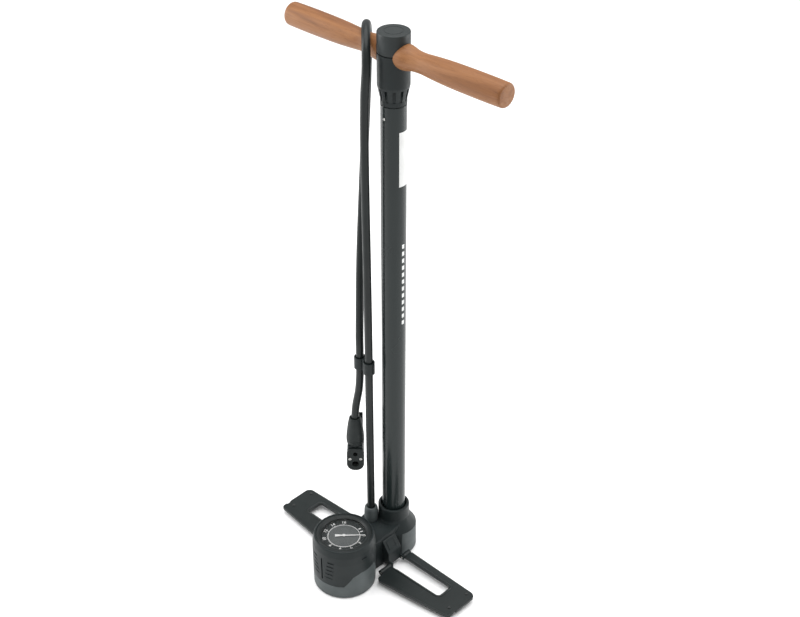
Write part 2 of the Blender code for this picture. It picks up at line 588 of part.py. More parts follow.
def needle():
    """Needle that points at the zero mark, with a broad tail and a round hub."""
    aim = radians(45)
    outline = ((0.0262, 0.0002), (0.0020, 0.0006), (-0.0030, 0.0007), (-0.0110, 0.0016),
               (-0.0110, -0.0016), (-0.0030, -0.0007), (0.0020, -0.0006), (0.0262, -0.0002))
    turn = Matrix.Translation((0.0, GAUGE_Y, 0.0)) @ Matrix.Rotation(aim, 4, "Z")
    made = finish("pointer", prism(outline, 0.0695, 0.0699, turn), None)
    fuse(made, rod(0.0021, 0.0694, 0.0702, SMALL, 0.0, GAUGE_Y))
    bm = copy_mesh(made)
    bpy.data.objects.remove(made)
    return bm


# ---------------------------------------------------------------- folding feet
def foot(side, name, paint, rubber, steel):
    """Slotted steel plate with two knuckles, its hinge pins and its two rubber feet."""
    hinge = (side * FOOT_HINGE_X, 0.0, FOOT_HINGE_Z)
    outline = rounded((
        (0.0385, -0.0690, 0.0), (0.0425, -0.0716, 0.0), (FOOT_END_X, -0.0594, 0.0055),
        (FOOT_END_X, -0.0510, 0.0005), (FOOT_END_X - 0.0016, -0.0500, 0.0005),
        (FOOT_END_X - 0.0016, -0.0455, 0.0005), (FOOT_END_X, -0.0445, 0.0005),
        (FOOT_END_X, -0.0087, 0.0080), (0.0372, -0.0058, 0.0012), (0.0372, -0.0186, 0.0),
        (SLOT_END_X, -0.0192, 0.0050), (SLOT_END_X, -0.0416, 0.0050), (0.0372, -0.0422, 0.0),
        (0.0372, -0.0620, 0.0)))
    mirror = Matrix.Diagonal((side, 1, 1, 1))
    plate = finish(name, prism(outline, FOOT_BOTTOM, FOOT_TOP, mirror), paint)
    pin_axis = along_y(side * FOOT_HINGE_X, FOOT_HINGE_Z)
    for low, high in ((-0.0600, -0.0424), (-0.0184, -0.0068)):
        fuse(plate, prism(knuckle(side), low, high, FROM_SIDE))
    cut(plate, rod(FOOT_PIN_RADIUS + GAP, -0.0700, -0.0050, TINY, turn=pin_axis))
    for y in (PAD_FRONT_Y, PAD_REAR_Y):
        cut(plate, rod(0.0017, 0.0, 0.0200, TINY, side * PAD_X, y))
    recentre(plate, hinge)
    under = FOOT_BOTTOM - GAP
    over = FOOT_TOP + GAP
    stem = ((0.0, 0.0), (0.0046, 0.0), (0.0050, 0.0004), (0.0050, under), (0.0014, under),
            (0.0014, over), (0.0021, over), (0.0015, over + 0.0006), (0.0, over + 0.0008))
    for label, y in (("front", PAD_FRONT_Y), ("rear", PAD_REAR_Y)):
        finish(f"{name}_pad_{label}", turned(stem, 14, side * PAD_X, y), rubber, hinge)
    for label, low, high in (("front", -0.0598, -0.0385), ("rear", -0.0220, -0.0070)):
        finish(f"{name}_pin_{label}", rod(FOOT_PIN_RADIUS, low, high, TINY, turn=pin_axis), steel)


def knuckle(side):
    """Side view (x, z) of a hinge knuckle: a round eye with a flat arm into the plate."""
    top = FOOT_TOP - FOOT_HINGE_Z - 0.0001
    bottom = FOOT_BOTTOM - FOOT_HINGE_Z + 0.0001
    first = asin(top / KNUCKLE_RADIUS)
    sweep = 2 * pi + asin(bottom / KNUCKLE_RADIUS) - first
    outline = [(0.0068, bottom), (0.0068, top)]
    outline += [(KNUCKLE_RADIUS * cos(first + sweep * step / SMALL),
                 KNUCKLE_RADIUS * sin(first + sweep * step / SMALL)) for step in range(SMALL + 1)]
    return [(side * (FOOT_HINGE_X + x), FOOT_HINGE_Z + z) for x, z in outline]


def recentre(target, pivot):
    """Moves a world-placed object's origin to its joint's axis."""
    target.data.transform(Matrix.Translation(-Vector(pivot)))
    target.location = pivot


# ---------------------------------------------------------------- hose, clip and chuck
def smooth_route(points, spacing):
    """Points evenly spaced along a smooth curve through the route's own points."""
    knots = [Vector(point) for point in points]
    knots = [2 * knots[0] - knots[1]] + knots + [2 * knots[-1] - knots[-2]]
    fine = []
    for before, start, stop, after in zip(knots, knots[1:], knots[2:], knots[3:]):
        for step in range(24):
            t = step / 24
            fine.append(0.5 * (2 * start + (stop - before) * t
                               + (2 * before - 5 * start + 4 * stop - after) * t ** 2
                               + (3 * start - before - 3 * stop + after) * t ** 3))
    fine.append(knots[-2])
    total = sum((b - a).length for a, b in zip(fine, fine[1:]))
    count = round(total / spacing)
    spaced = [fine[0]]
    travelled = 0.0
    for a, b in zip(fine, fine[1:]):
        travelled += (b - a).length
        if travelled >= total / count * len(spaced) and len(spaced) < count:
            spaced.append(b)
    spaced.append(fine[-1])
    return spaced


def hose(rubber):
    curve = bpy.data.curves.new("hose", "CURVE")
    curve.dimensions = "3D"
    curve.bevel_depth = HOSE_DIAMETER / 2
    curve.bevel_resolution = 2
    curve.use_fill_caps = True
    points = smooth_route(HOSE_ROUTE, 2.5 * HOSE_DIAMETER)
    spline = curve.splines.new("POLY")
    spline.points.add(len(points) - 1)
    for target, point in zip(spline.points, points):
        target.co = (*point, 1.0)
    curve.materials.append(rubber)
    made = bpy.data.objects.new("hose", curve)
    bpy.context.collection.objects.link(made)


def clip(plastic):
    """Two rings side by side that hold the hose's two runs together."""
    inner = 0.0054
    outer = 0.0070
    left = CLIP_LEFT[0] + 0.0060
    right = CLIP_RIGHT[0] - 0.0060
    tab = CLIP_RIGHT[0] + 0.0060
    made = finish("hose_clip", ring(inner, outer, CLIP_BOTTOM, CLIP_TOP, SMALL, *CLIP_RIGHT), plastic)
    fuse(made, box(left, right, -0.0262, -0.0208, CLIP_BOTTOM + 0.0003, CLIP_TOP - 0.0003))
    fuse(made, ring(inner, outer, CLIP_BOTTOM, CLIP_TOP, SMALL, *CLIP_LEFT))
    fuse(made, box(tab, tab + 0.0028, -0.0252, -0.0228, CLIP_BOTTOM + 0.0020, CLIP_TOP - 0.0010))


def chuck_frame():
    """Places the chuck's own X (across), Y (towards its back) and Z (up)."""
    return Matrix.Translation((*CHUCK_ORIGIN, 0.0)) @ Matrix.Rotation(VIEW_TURN, 4, "Z")


def facing(frame, x, z):
    """Turns a shape built along Z so that it lies along the chuck's own Y at this place."""
    return frame @ Matrix.Translation((x, 0.0, z)) @ Matrix.Rotation(-pi / 2, 4, "X")


def chuck_group(plastic, rubber, steel, black):
    frame = chuck_frame()
    head_profile = rounded((
        (-0.0092, SLEEVE_BOTTOM - GAP, 0.0), (-0.0092, 0.1580, 0.0), (-0.0105, 0.1500, 0.0),
        (-0.0107, HEAD_BOTTOM, 0.0098), (0.0107, HEAD_BOTTOM, 0.0098), (0.0105, 0.1500, 0.0),
        (0.0092, 0.1580, 0.0), (0.0092, SLEEVE_BOTTOM - GAP, 0.0)), 6)
    face_back = CHUCK_FACE + 0.0024
    body = prism(head_profile, face_back + GAP, CHUCK_BACK, frame @ FROM_SIDE)
    head = finish("chuck_head", body, plastic)
    stem = ((0.0, 0.1500), (0.0070, 0.1500), (0.0070, 0.1830), (0.0, 0.1830))
    fuse(head, turned(stem, 20, turn=frame))
    for radius, z in ((0.0037, PRESTA_Z), (0.0052, SCHRADER_Z)):
        cut(head, rod(radius, -0.0300, 0.0040, SMALL, turn=facing(frame, 0.0, z)))
    cut(head, rod(0.0016, 0.1300, 0.2000, TINY, turn=frame))
    screw_hole = CHUCK_SCREW_RADIUS + GAP
    for x in (-CHUCK_SCREW_X, CHUCK_SCREW_X):
        cut(head, rod(screw_hole, -0.0300, -0.0035, TINY, turn=facing(frame, x, CHUCK_SCREW_Z)))
    pivot = Matrix.Translation((0.0, LEVER_Y, LEVER_PIVOT_Z))
    lever_axis = frame @ pivot @ Matrix.Rotation(pi / 2, 4, "Y")
    for x0, x1 in EARS:
        ear = rounded(((CHUCK_BACK - 0.0020, LEVER_PIVOT_Z - 0.0040, 0.0),
                       (LEVER_Y + 0.0030, LEVER_PIVOT_Z - 0.0040, 0.0028),
                       (LEVER_Y + 0.0030, LEVER_PIVOT_Z + 0.0040, 0.0028),
                       (CHUCK_BACK - 0.0020, LEVER_PIVOT_Z + 0.0040, 0.0)), 4)
        fuse(head, prism(ear, x0, x1, frame @ ACROSS))
    cut(head, rod(0.0013, -0.0040, 0.0140, TINY, turn=lever_axis))

    face = rounded((
        (-0.0104, 0.1585, 0.0060), (-0.0107, HEAD_BOTTOM, 0.0098), (0.0107, HEAD_BOTTOM, 0.0098),
        (0.0104, 0.1585, 0.0060)), 6)
    plate = finish("chuck_face", prism(face, CHUCK_FACE, face_back, frame @ FROM_SIDE), black)
    for radius, z in ((PRESTA_PORT, PRESTA_Z), (SCHRADER_PORT, SCHRADER_Z)):
        cut(plate, rod(radius, -0.0300, 0.0, SMALL, turn=facing(frame, 0.0, z)))
    for x in (-CHUCK_SCREW_X, CHUCK_SCREW_X):
        cut(plate, rod(screw_hole, -0.0300, 0.0, TINY, turn=facing(frame, x, CHUCK_SCREW_Z)))
    for name, inner, outer, z in (("presta_seal", 0.0026, 0.0034, PRESTA_Z),
                                  ("schrader_seal", 0.0039, 0.0049, SCHRADER_Z)):
        seal = ring(inner, outer, face_back + GAP, 0.0030, SMALL, turn=facing(frame, 0.0, z))
        finish(name, seal, rubber)
    screw = ((0.0, CHUCK_FACE - 0.0011), (0.0013, CHUCK_FACE - 0.0010), (0.0020, CHUCK_FACE - GAP),
             (CHUCK_SCREW_RADIUS, CHUCK_FACE - GAP), (CHUCK_SCREW_RADIUS, -0.0040), (0.0, -0.0040))
    for name, x in (("chuck_screw_left", -CHUCK_SCREW_X), ("chuck_screw_right", CHUCK_SCREW_X)):
        finish(name, turned(screw, TINY, turn=facing(frame, x, CHUCK_SCREW_Z)), steel)
    sleeve = ((0.0073, SLEEVE_BOTTOM), (0.0100, SLEEVE_BOTTOM), (0.0110, SLEEVE_BOTTOM + 0.0010),
              (0.0110, 0.1672), (0.0106, 0.1676), (0.0106, 0.1684), (0.0110, 0.1690), (0.0106, 0.1760),
              (0.0092, 0.1880), (0.0078, 0.1965), (0.0071, SLEEVE_TOP), (0.0052, SLEEVE_TOP),
              (0.0052, 0.1833), (0.0073, 0.1833))
    finish("chuck_sleeve", turned(sleeve, MEDIUM, turn=frame), rubber)
    lever(plastic, steel, frame, lever_axis)


def lever(plastic, steel, frame, lever_axis):
    """Locking lever along the chuck's back, on a cross pin."""
    low = LEVER_PIVOT_Z - 0.0026
    side_view = rounded((
        (LEVER_Y - 0.0026, low, 0.0024), (LEVER_Y + 0.0026, low, 0.0024),
        (LEVER_Y + 0.0040, 0.1700, 0.0), (LEVER_Y + 0.0044, LEVER_TOP - 0.0010, 0.0010),
        (LEVER_Y + 0.0016, LEVER_TOP, 0.0010), (LEVER_Y + 0.0006, 0.1700, 0.0)), 4)
    made = finish("chuck_lever", prism(side_view, 0.0002, 0.0092, frame @ ACROSS), plastic)
    cut(made, rod(0.0013, -0.0040, 0.0140, TINY, turn=lever_axis))
    recentre(made, frame @ Vector((0.0047, LEVER_Y, LEVER_PIVOT_Z)))
    finish("lever_pin", rod(0.0010, -0.0028, 0.0102, TINY, turn=lever_axis), steel)


# ---------------------------------------------------------------- build
def build():
    for old in list(bpy.data.objects):
        bpy.data.objects.remove(old)
    paint = material("barrel_paint", (0.035, 0.046, 0.046), 0.28)
    foot_paint = material("foot_paint", (0.030, 0.038, 0.038), 0.45)
    shroud_black = material("shroud_black", (0.032, 0.040, 0.041), 0.50)
    housing_grey = material("housing_grey", (0.095, 0.110, 0.110), 0.55)
    hub_black = material("hub_black", (0.045, 0.053, 0.052), 0.45)
    wood = material("wood", (0.39, 0.16, 0.065), 0.50)
    rubber = material("rubber", (0.020, 0.024, 0.024), 0.75)
    steel = material("steel", (0.55, 0.55, 0.53), 0.30, 1.0)
    brass = material("brass", (0.60, 0.42, 0.16), 0.35, 1.0)
    glass = material("clear_lens", (0.85, 0.88, 0.88), 0.05)
    dial_black = material("dial_black", (0.030, 0.036, 0.036), 0.60)
    white = material("needle_white", (0.80, 0.80, 0.80), 0.50)
    felt = material("felt", (0.30, 0.28, 0.24), 0.95)
    inner_plastic = material("inner_plastic", (0.55, 0.55, 0.50), 0.50)

    base_shells(housing_grey, shroud_black)
    base_details(rubber, steel, housing_grey, brass)
    barrel_group(paint, inner_plastic, rubber, steel, felt)
    plunger_group(steel, inner_plastic, rubber, hub_black, wood)
    gauge_group(steel, brass, white, dial_black, glass, shroud_black)
    foot(1, "right_foot", foot_paint, rubber, steel)
    foot(-1, "left_foot", foot_paint, rubber, steel)
    hose(rubber)
    clip(shroud_black)
    chuck_group(shroud_black, rubber, steel, dial_black)


build()
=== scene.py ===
"""Looks of the floor bike pump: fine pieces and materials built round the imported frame.

Metres, +Z up, in the frame's own coordinates: the gauge is towards -Y, the handle and feet along X.
"""
import json
from math import asin, atan2, cos, pi, radians, sin, tan
from types import SimpleNamespace

import bmesh
import bpy
from mathutils import Matrix, Vector


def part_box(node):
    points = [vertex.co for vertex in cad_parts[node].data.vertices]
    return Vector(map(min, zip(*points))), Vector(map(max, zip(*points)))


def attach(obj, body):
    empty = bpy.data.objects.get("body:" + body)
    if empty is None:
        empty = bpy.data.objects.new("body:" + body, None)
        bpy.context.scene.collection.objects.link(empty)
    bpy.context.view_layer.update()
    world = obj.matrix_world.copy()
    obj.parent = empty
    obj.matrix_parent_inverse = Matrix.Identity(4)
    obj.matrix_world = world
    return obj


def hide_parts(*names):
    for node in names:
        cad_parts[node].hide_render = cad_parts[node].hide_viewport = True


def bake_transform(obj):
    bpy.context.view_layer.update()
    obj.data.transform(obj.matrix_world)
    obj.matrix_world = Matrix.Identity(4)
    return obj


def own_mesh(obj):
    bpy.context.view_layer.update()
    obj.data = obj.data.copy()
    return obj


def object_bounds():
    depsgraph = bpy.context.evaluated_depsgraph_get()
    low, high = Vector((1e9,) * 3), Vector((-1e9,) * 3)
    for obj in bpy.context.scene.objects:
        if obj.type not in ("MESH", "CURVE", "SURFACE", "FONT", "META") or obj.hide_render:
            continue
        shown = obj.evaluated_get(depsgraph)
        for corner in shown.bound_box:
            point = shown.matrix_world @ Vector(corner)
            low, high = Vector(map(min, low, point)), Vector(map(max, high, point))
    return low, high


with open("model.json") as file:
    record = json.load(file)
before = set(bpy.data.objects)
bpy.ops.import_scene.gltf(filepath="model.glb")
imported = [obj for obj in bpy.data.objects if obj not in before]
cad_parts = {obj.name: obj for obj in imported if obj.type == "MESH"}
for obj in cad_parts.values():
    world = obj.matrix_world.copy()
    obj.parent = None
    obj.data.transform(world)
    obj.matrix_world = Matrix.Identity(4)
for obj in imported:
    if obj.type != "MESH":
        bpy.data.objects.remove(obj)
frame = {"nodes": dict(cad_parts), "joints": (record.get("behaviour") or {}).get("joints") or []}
cad_low, cad_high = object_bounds()

GAP = 0.0003                    # clearance between touching pieces, as in the frame
FINE, ROUND, SMALL = 128, 72, 32    # sides of round shapes, by size
CORNER = 5                      # steps in a rounded corner


def spot(node):
    """Middle, radius across X and height range of a CAD node."""
    low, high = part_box(node)
    return SimpleNamespace(x=(low.x + high.x) / 2, y=(low.y + high.y) / 2, r=(high.x - low.x) / 2,
                           low=low.z, high=high.z)


BARREL = spot("barrel")
HUB = spot("handle_hub")
CAP = spot("handle_cap")
DIAL = spot("gauge_dial")
BEZEL = spot("gauge_bezel")
BOSS = spot("hose_boss")
CLIP = spot("hose_clip")
JOINTS = {joint["name"]: joint for joint in frame["joints"]}

# ---- camera, light and floor
CAMERA_PLACE = Vector((0.96954, -1.02636, 1.29510))
CAMERA_AIM = Vector((-0.56644, 0.59963, -0.56532))
CAMERA_RIGHT = Vector((0.7270, 0.6866, 0.0))
LENS_MM = 66.3
SHIFT = (0.0078, 0.0292)
WORLD_STRENGTH = 0.62
FLOOR_REACH = 6.0
FLOOR_COLOUR = (0.93, 0.93, 0.93, 1.0)


def make_camera():
    camera = bpy.data.objects.new("camera", bpy.data.cameras.new("camera"))
    bpy.context.scene.collection.objects.link(camera)
    back = -CAMERA_AIM.normalized()
    right = CAMERA_RIGHT.normalized()
    turn = Matrix((right, back.cross(right), back)).transposed()
    camera.matrix_world = Matrix.Translation(CAMERA_PLACE) @ turn.to_4x4()
    camera.data.lens = LENS_MM
    camera.data.sensor_width = 36.0
    camera.data.shift_x, camera.data.shift_y = SHIFT
    camera.data.clip_start = 0.05
    bpy.context.scene.camera = camera


def area_light(name, place, target, size, power):
    light = bpy.data.lights.new(name, "AREA")
    light.shape = "RECTANGLE"
    light.size, light.size_y = size
    light.energy = power
    lamp = bpy.data.objects.new(name, light)
    lamp.location = place
    lamp.rotation_euler = (Vector(target) - Vector(place)).to_track_quat("-Z", "Y").to_euler()
    bpy.context.scene.collection.objects.link(lamp)


def make_studio():
    world = bpy.data.worlds.new("studio")
    world.use_nodes = True
    sky = world.node_tree.nodes["Background"]
    sky.inputs["Color"].default_value = (1.0, 1.0, 1.0, 1.0)
    sky.inputs["Strength"].default_value = WORLD_STRENGTH
    bpy.context.scene.world = world
    bpy.context.scene.view_settings.view_transform = "Standard"
    middle = (0.0, 0.0, 0.35)
    area_light("top_light", (0.0, 0.2, 3.6), middle, (4.0, 4.0), 150.0)
    area_light("left_light", (-1.5, -0.9, 0.9), middle, (0.4, 1.8), 22.0)
    area_light("right_light", (0.9, 1.3, 0.8), middle, (0.4, 1.6), 12.0)


def make_floor():
    bm = bmesh.new()
    bmesh.ops.create_grid(bm, x_segments=1, y_segments=1, size=FLOOR_REACH)
    mesh = bpy.data.meshes.new("floor")
    bm.to_mesh(mesh)
    bm.free()
    floor = bpy.data.objects.new("floor", mesh)
    bpy.context.scene.collection.objects.link(floor)
    pale = bpy.data.materials.new("pale_floor")
    pale.use_nodes = True
    shader = pale.node_tree.nodes["Principled BSDF"]
    shader.inputs["Base Color"].default_value = FLOOR_COLOUR
    shader.inputs["Roughness"].default_value = 0.9
    mesh.materials.append(pale)


# ---- materials
def new_look(name, roughness, metallic=0.0, coat=0.0, shine=0.5):
    """A Principled material and its tree; constants sit on the shader's own sockets."""
    look = bpy.data.materials.new(name)
    look.use_nodes = True
    shader = look.node_tree.nodes["Principled BSDF"]
    shader.inputs["Roughness"].default_value = roughness
    shader.inputs["Metallic"].default_value = metallic
    shader.inputs["Coat Weight"].default_value = coat
    shader.inputs["Specular IOR Level"].default_value = shine
    shader.inputs["Coat Roughness"].default_value = 0.12
    return look, look.node_tree, shader


def noise(tree, scale, detail=3.0, stretch=(1.0, 1.0, 1.0), distortion=0.0):
    """Noise over the piece's own coordinates, in metres."""
    place = tree.nodes.new("ShaderNodeTexCoord")
    mapping = tree.nodes.new("ShaderNodeMapping")
    mapping.inputs["Scale"].default_value = stretch
    made = tree.nodes.new("ShaderNodeTexNoise")
    made.inputs["Scale"].default_value = scale
    made.inputs["Detail"].default_value = detail
    made.inputs["Distortion"].default_value = distortion
    tree.links.new(place.outputs["Object"], mapping.inputs["Vector"])
    tree.links.new(mapping.outputs["Vector"], made.inputs["Vector"])
    return made.outputs["Fac"]


def ramp(tree, source, *stops):
    """Colour ramp with stops (position, (r, g, b))."""
    made = tree.nodes.new("ShaderNodeValToRGB")
    elements = made.color_ramp.elements
    while len(elements) < len(stops):
        elements.new(0.5)
    for element, (position, colour) in zip(elements, stops):
        element.position = position
        element.color = (*colour, 1.0)
    tree.links.new(source, made.inputs["Fac"])
    return made.outputs["Color"]


def between(tree, source, low, high, target):
    """Feeds target with source spread from low to high."""
    made = tree.nodes.new("ShaderNodeMapRange")
    made.inputs["From Min"].default_value = 0.3
    made.inputs["From Max"].default_value = 0.7
    made.inputs["To Min"].default_value = low
    made.inputs["To Max"].default_value = high
    tree.links.new(source, made.inputs["Value"])
    tree.links.new(made.outputs["Result"], target)


def blend_colour(tree, mode, factor, first, second):
    """Mixes two colour outputs; factor is a number or an output."""
    made = tree.nodes.new("ShaderNodeMix")
    made.data_type = "RGBA"
    made.blend_type = mode
    if isinstance(factor, float):
        made.inputs["Factor"].default_value = factor
    else:
        tree.links.new(factor, made.inputs["Factor"])
    tree.links.new(first, made.inputs["A"])
    tree.links.new(second, made.inputs["B"])
    return made.outputs["Result"]


def bump(tree, shader, height, strength, distance):
    made = tree.nodes.new("ShaderNodeBump")
    made.inputs["Strength"].default_value = strength
    made.inputs["Distance"].default_value = distance
    tree.links.new(height, made.inputs["Height"])
    tree.links.new(made.outputs["Normal"], shader.inputs["Normal"])


def shades(colour, low, high):
    """The colour darkened by one factor and lightened by the other."""
    return tuple(c * low for c in colour), tuple(c * high for c in colour)


def surface(name, colour, roughness, grain, depth, metallic=0.0, coat=0.0, mottle=40.0,
            stretch=(1.0, 1.0, 1.0), spread=0.12, strength=0.35, shine=0.5):
    """Even coloured surface with a soft tone variation, uneven gloss and a fine grain."""
    look, tree, shader = new_look(name, roughness, metallic, coat, shine)
    dark, light = shades(colour, 1.0 - spread, 1.0 + spread)
    tone = noise(tree, mottle, 4.0)
    tree.links.new(ramp(tree, tone, (0.32, dark), (0.68, light)), shader.inputs["Base Color"])
    gloss = noise(tree, mottle * 2.3, 3.0)
    between(tree, gloss, roughness - 0.05, roughness + 0.07, shader.inputs["Roughness"])
    bump(tree, shader, noise(tree, grain, 2.0, stretch), strength, depth)
    return look


def scuffed(name, colour, roughness, grain, depth, coat=0.0):
    """Painted metal with an orange-peel skin and a few fine pale scuffs."""
    look, tree, shader = new_look(name, roughness, 0.0, coat, 0.28)
    dark, light = shades(colour, 0.88, 1.14)
    tone = ramp(tree, noise(tree, 30.0, 4.0), (0.32, dark), (0.68, light))
    pale = shades(colour, 1.0, 2.4)[1]
    streaks = noise(tree, 260.0, 2.0, (1.0, 0.12, 0.5))
    marks = ramp(tree, streaks, (0.7, (0, 0, 0)), (0.76, (0.6, 0.6, 0.6)))
    scuff = ramp(tree, noise(tree, 25.0, 2.0), (0.0, pale), (1.0, pale))
    tree.links.new(blend_colour(tree, "MIX", marks, tone, scuff), shader.inputs["Base Color"])
    between(tree, noise(tree, 70.0), roughness - 0.04, roughness + 0.08, shader.inputs["Roughness"])
    bump(tree, shader, noise(tree, grain, 2.0), 0.3, depth)
    return look


def make_wood():
    """Oiled reddish-brown hardwood with its grain along the handle."""
    look, tree, shader = new_look("oiled_wood", 0.48, 0.0, 0.0, 0.3)
    figure = noise(tree, 1.0, 8.0, (5.0, 75.0, 75.0), 1.6)
    tone = ramp(tree, figure, (0.26, (0.165, 0.062, 0.021)), (0.42, (0.245, 0.102, 0.036)),
                (0.58, (0.3, 0.134, 0.052)), (0.78, (0.208, 0.081, 0.029)))
    fibres = noise(tree, 1.0, 5.0, (22.0, 620.0, 620.0), 0.4)
    fine = ramp(tree, fibres, (0.3, (0.8, 0.77, 0.74)), (0.66, (1.0, 1.0, 1.0)))
    pores = noise(tree, 1.0, 2.0, (85.0, 2300.0, 2300.0))
    dots = ramp(tree, pores, (0.3, (0.55, 0.48, 0.42)), (0.39, (1.0, 1.0, 1.0)))
    colour = blend_colour(tree, "MULTIPLY", 0.75, tone, fine)
    colour = blend_colour(tree, "MULTIPLY", 0.65, colour, dots)
    tree.links.new(colour, shader.inputs["Base Color"])
    between(tree, fibres, 0.38, 0.56, shader.inputs["Roughness"])
    bump(tree, shader, pores, 0.3, 0.00012)
    return look


def make_lens():
    """Clear lens: thin and see-through, with an uneven gloss."""
    look, tree, shader = new_look("clear_lens", 0.05)
    shader.inputs["Base Color"].default_value = (0.05, 0.055, 0.055, 1.0)
    shader.inputs["Alpha"].default_value = 0.1
    between(tree, noise(tree, 120.0, 3.0), 0.03, 0.1, shader.inputs["Roughness"])
    return look


def make_looks():
    steel = surface("zinc_steel", (0.52, 0.52, 0.5), 0.3, 900.0, 0.00003, 1.0, stretch=(1, 1, 14))
    return SimpleNamespace(
        shroud=surface("moulded_shroud", (0.01, 0.0145, 0.015), 0.44, 2600.0, 0.00006, shine=0.24),
        housing=surface("moulded_housing", (0.066, 0.078, 0.079), 0.52, 2600.0, 0.00007, shine=0.35),
        barrel=surface("gloss_barrel", (0.013, 0.019, 0.019), 0.22, 3000.0, 0.000002, coat=0.12,
                       mottle=12.0, spread=0.05, strength=0.02, shine=0.26),
        foot=scuffed("powder_coat", (0.0085, 0.012, 0.012), 0.33, 1500.0, 0.00005),
        hub=surface("satin_hub", (0.011, 0.0155, 0.016), 0.42, 2400.0, 0.00005, shine=0.25),
        # the cap is a lighter, shinier copy of the hub's black: painted highlight for the light that falls
        # on its top
        cap=surface("satin_cap_painted_highlight", (0.016, 0.021, 0.0215), 0.45, 1800.0, 0.00006, spread=0.08, shine=0.34),
        wood=make_wood(),
        hose=surface("extruded_rubber", (0.009, 0.0125, 0.0125), 0.38, 1600.0, 0.00004,
                     stretch=(1.0, 1.0, 0.08), mottle=22.0, shine=0.28),
        sleeve=surface("soft_rubber", (0.011, 0.015, 0.015), 0.52, 2200.0, 0.00005, shine=0.27),
        rubber=surface("tread_rubber", (0.019, 0.021, 0.021), 0.72, 1500.0, 0.0001),
        steel=steel,
        brass=surface("turned_brass", (0.58, 0.4, 0.15), 0.32, 700.0, 0.00003, 1.0, stretch=(1, 1, 9)),
        dial=surface("dial_face", (0.016, 0.02, 0.02), 0.55, 2500.0, 0.00002, shine=0.25),
        bezel=surface("bezel_black", (0.009, 0.012, 0.012), 0.4, 2400.0, 0.00004, shine=0.28),
        dial_ring=surface("dial_ring", (0.085, 0.092, 0.092), 0.5, 2500.0, 0.00002),
        white=surface("white_print", (0.74, 0.74, 0.73), 0.5, 3000.0, 0.00002, spread=0.04),
        label=surface("white_label", (0.7, 0.71, 0.7), 0.38, 2000.0, 0.00002, spread=0.05),
        natural=surface("natural_plastic", (0.55, 0.55, 0.5), 0.48, 1800.0, 0.00005),
        felt=surface("oiled_felt", (0.3, 0.28, 0.24), 0.92, 1400.0, 0.0003, spread=0.3),
        lens=make_lens(),
    )


# ---- shape helpers
FROM_SIDE = Matrix(((1, 0, 0, 0), (0, 0, 1, 0), (0, 1, 0, 0), (0, 0, 0, 1)))
ACROSS = Matrix(((0, 0, 1, 0), (1, 0, 0, 0), (0, 1, 0, 0), (0, 0, 0, 1)))


def rounded(corners, steps=CORNER):
    """Polygon corners to an outline: (x, y) stays sharp, (x, y, radius) gets an arc."""
    outline = []
    count = len(corners)
    for index, (x, y, *given) in enumerate(corners):
        radius = given[0] if given else 0.0
        if radius == 0.0:
            outline.append((x, y))
            continue
        here = Vector((x, y))
        before = (Vector(corners[index - 1][:2]) - here).normalized()
        after = (Vector(corners[(index + 1) % count][:2]) - here).normalized()
        half = before.angle(after) / 2
        centre = here + (before + after).normalized() * (radius / sin(half))
        first = here + before * (radius / tan(half)) - centre
        last = here + after * (radius / tan(half)) - centre
        start = atan2(first.y, first.x)
        sweep = (atan2(last.y, last.x) - start + pi) % (2 * pi) - pi
        for step in range(steps + 1):
            angle = start + sweep * step / steps
            outline.append((centre.x + radius * cos(angle), centre.y + radius * sin(angle)))
    return outline


def lathe(outline, steps=ROUND, turn=None):
    """Closed outline (radius, z) spun about Z; a point at radius 0 becomes a pole."""
    bm = bmesh.new()
    angles = [2 * pi * step / steps for step in range(steps)]
    rings = []
    for radius, z in outline:
        if radius < 1e-7:
            rings.append([bm.verts.new((0.0, 0.0, z))])
        else:
            rings.append([bm.verts.new((radius * cos(a), radius * sin(a), z)) for a in angles])
    for lower, upper in zip(rings, rings[1:] + rings[:1]):
        if len(lower) == 1 and len(upper) == 1:
            continue
        for here in range(steps):
            there = (here + 1) % steps
            corners = (lower[here % len(lower)], lower[there % len(lower)],
                       upper[there % len(upper)], upper[here % len(upper)])
            bm.faces.new(dict.fromkeys(corners))
    if turn is not None:
        bmesh.ops.transform(bm, matrix=turn, verts=bm.verts)
    return bm


def at(x, y, z=0.0):
    return Matrix.Translation((x, y, z))


def about_z(angle):
    return Matrix.Rotation(angle, 4, "Z")


def disc(radius, low, high, steps=SMALL, turn=None, edge=0.0):
    """Round bar along Z with softened rims."""
    return lathe(rounded(((0.0, low), (radius, low, edge), (radius, high, edge), (0.0, high))),
                 steps, turn)


def tube(inner, outer, low, high, steps=SMALL, turn=None, edge=0.0):
    return lathe(rounded(((inner, low, edge), (outer, low, edge), (outer, high, edge),
                          (inner, high, edge))), steps, turn)


def prism(outline, low, high, turn=None, edge=0.0):
    """Outline (x, y) from low to high along Z, its sharp edges bevelled by edge."""
    bm = bmesh.new()
    face = bm.faces.new([bm.verts.new((x, y, low)) for x, y in outline])
    grown = bmesh.ops.extrude_face_region(bm, geom=[face])
    lifted = [item for item in grown["geom"] if isinstance(item, bmesh.types.BMVert)]
    bmesh.ops.translate(bm, verts=lifted, vec=(0.0, 0.0, high - low))
    bmesh.ops.recalc_face_normals(bm, faces=bm.faces)
    if edge:
        sharp = [e for e in bm.edges if e.calc_face_angle(0.0) > radians(35)]
        bmesh.ops.bevel(bm, geom=sharp, offset=edge, segments=3, profile=0.5, affect="EDGES",
                        clamp_overlap=True)
    if turn is not None:
        bmesh.ops.transform(bm, matrix=turn, verts=bm.verts)
    return bm


def box(x0, x1, y0, y1, z0, z1, turn=None, edge=0.0):
    return prism(((x0, y0), (x1, y0), (x1, y1), (x0, y1)), z0, z1, turn, edge)


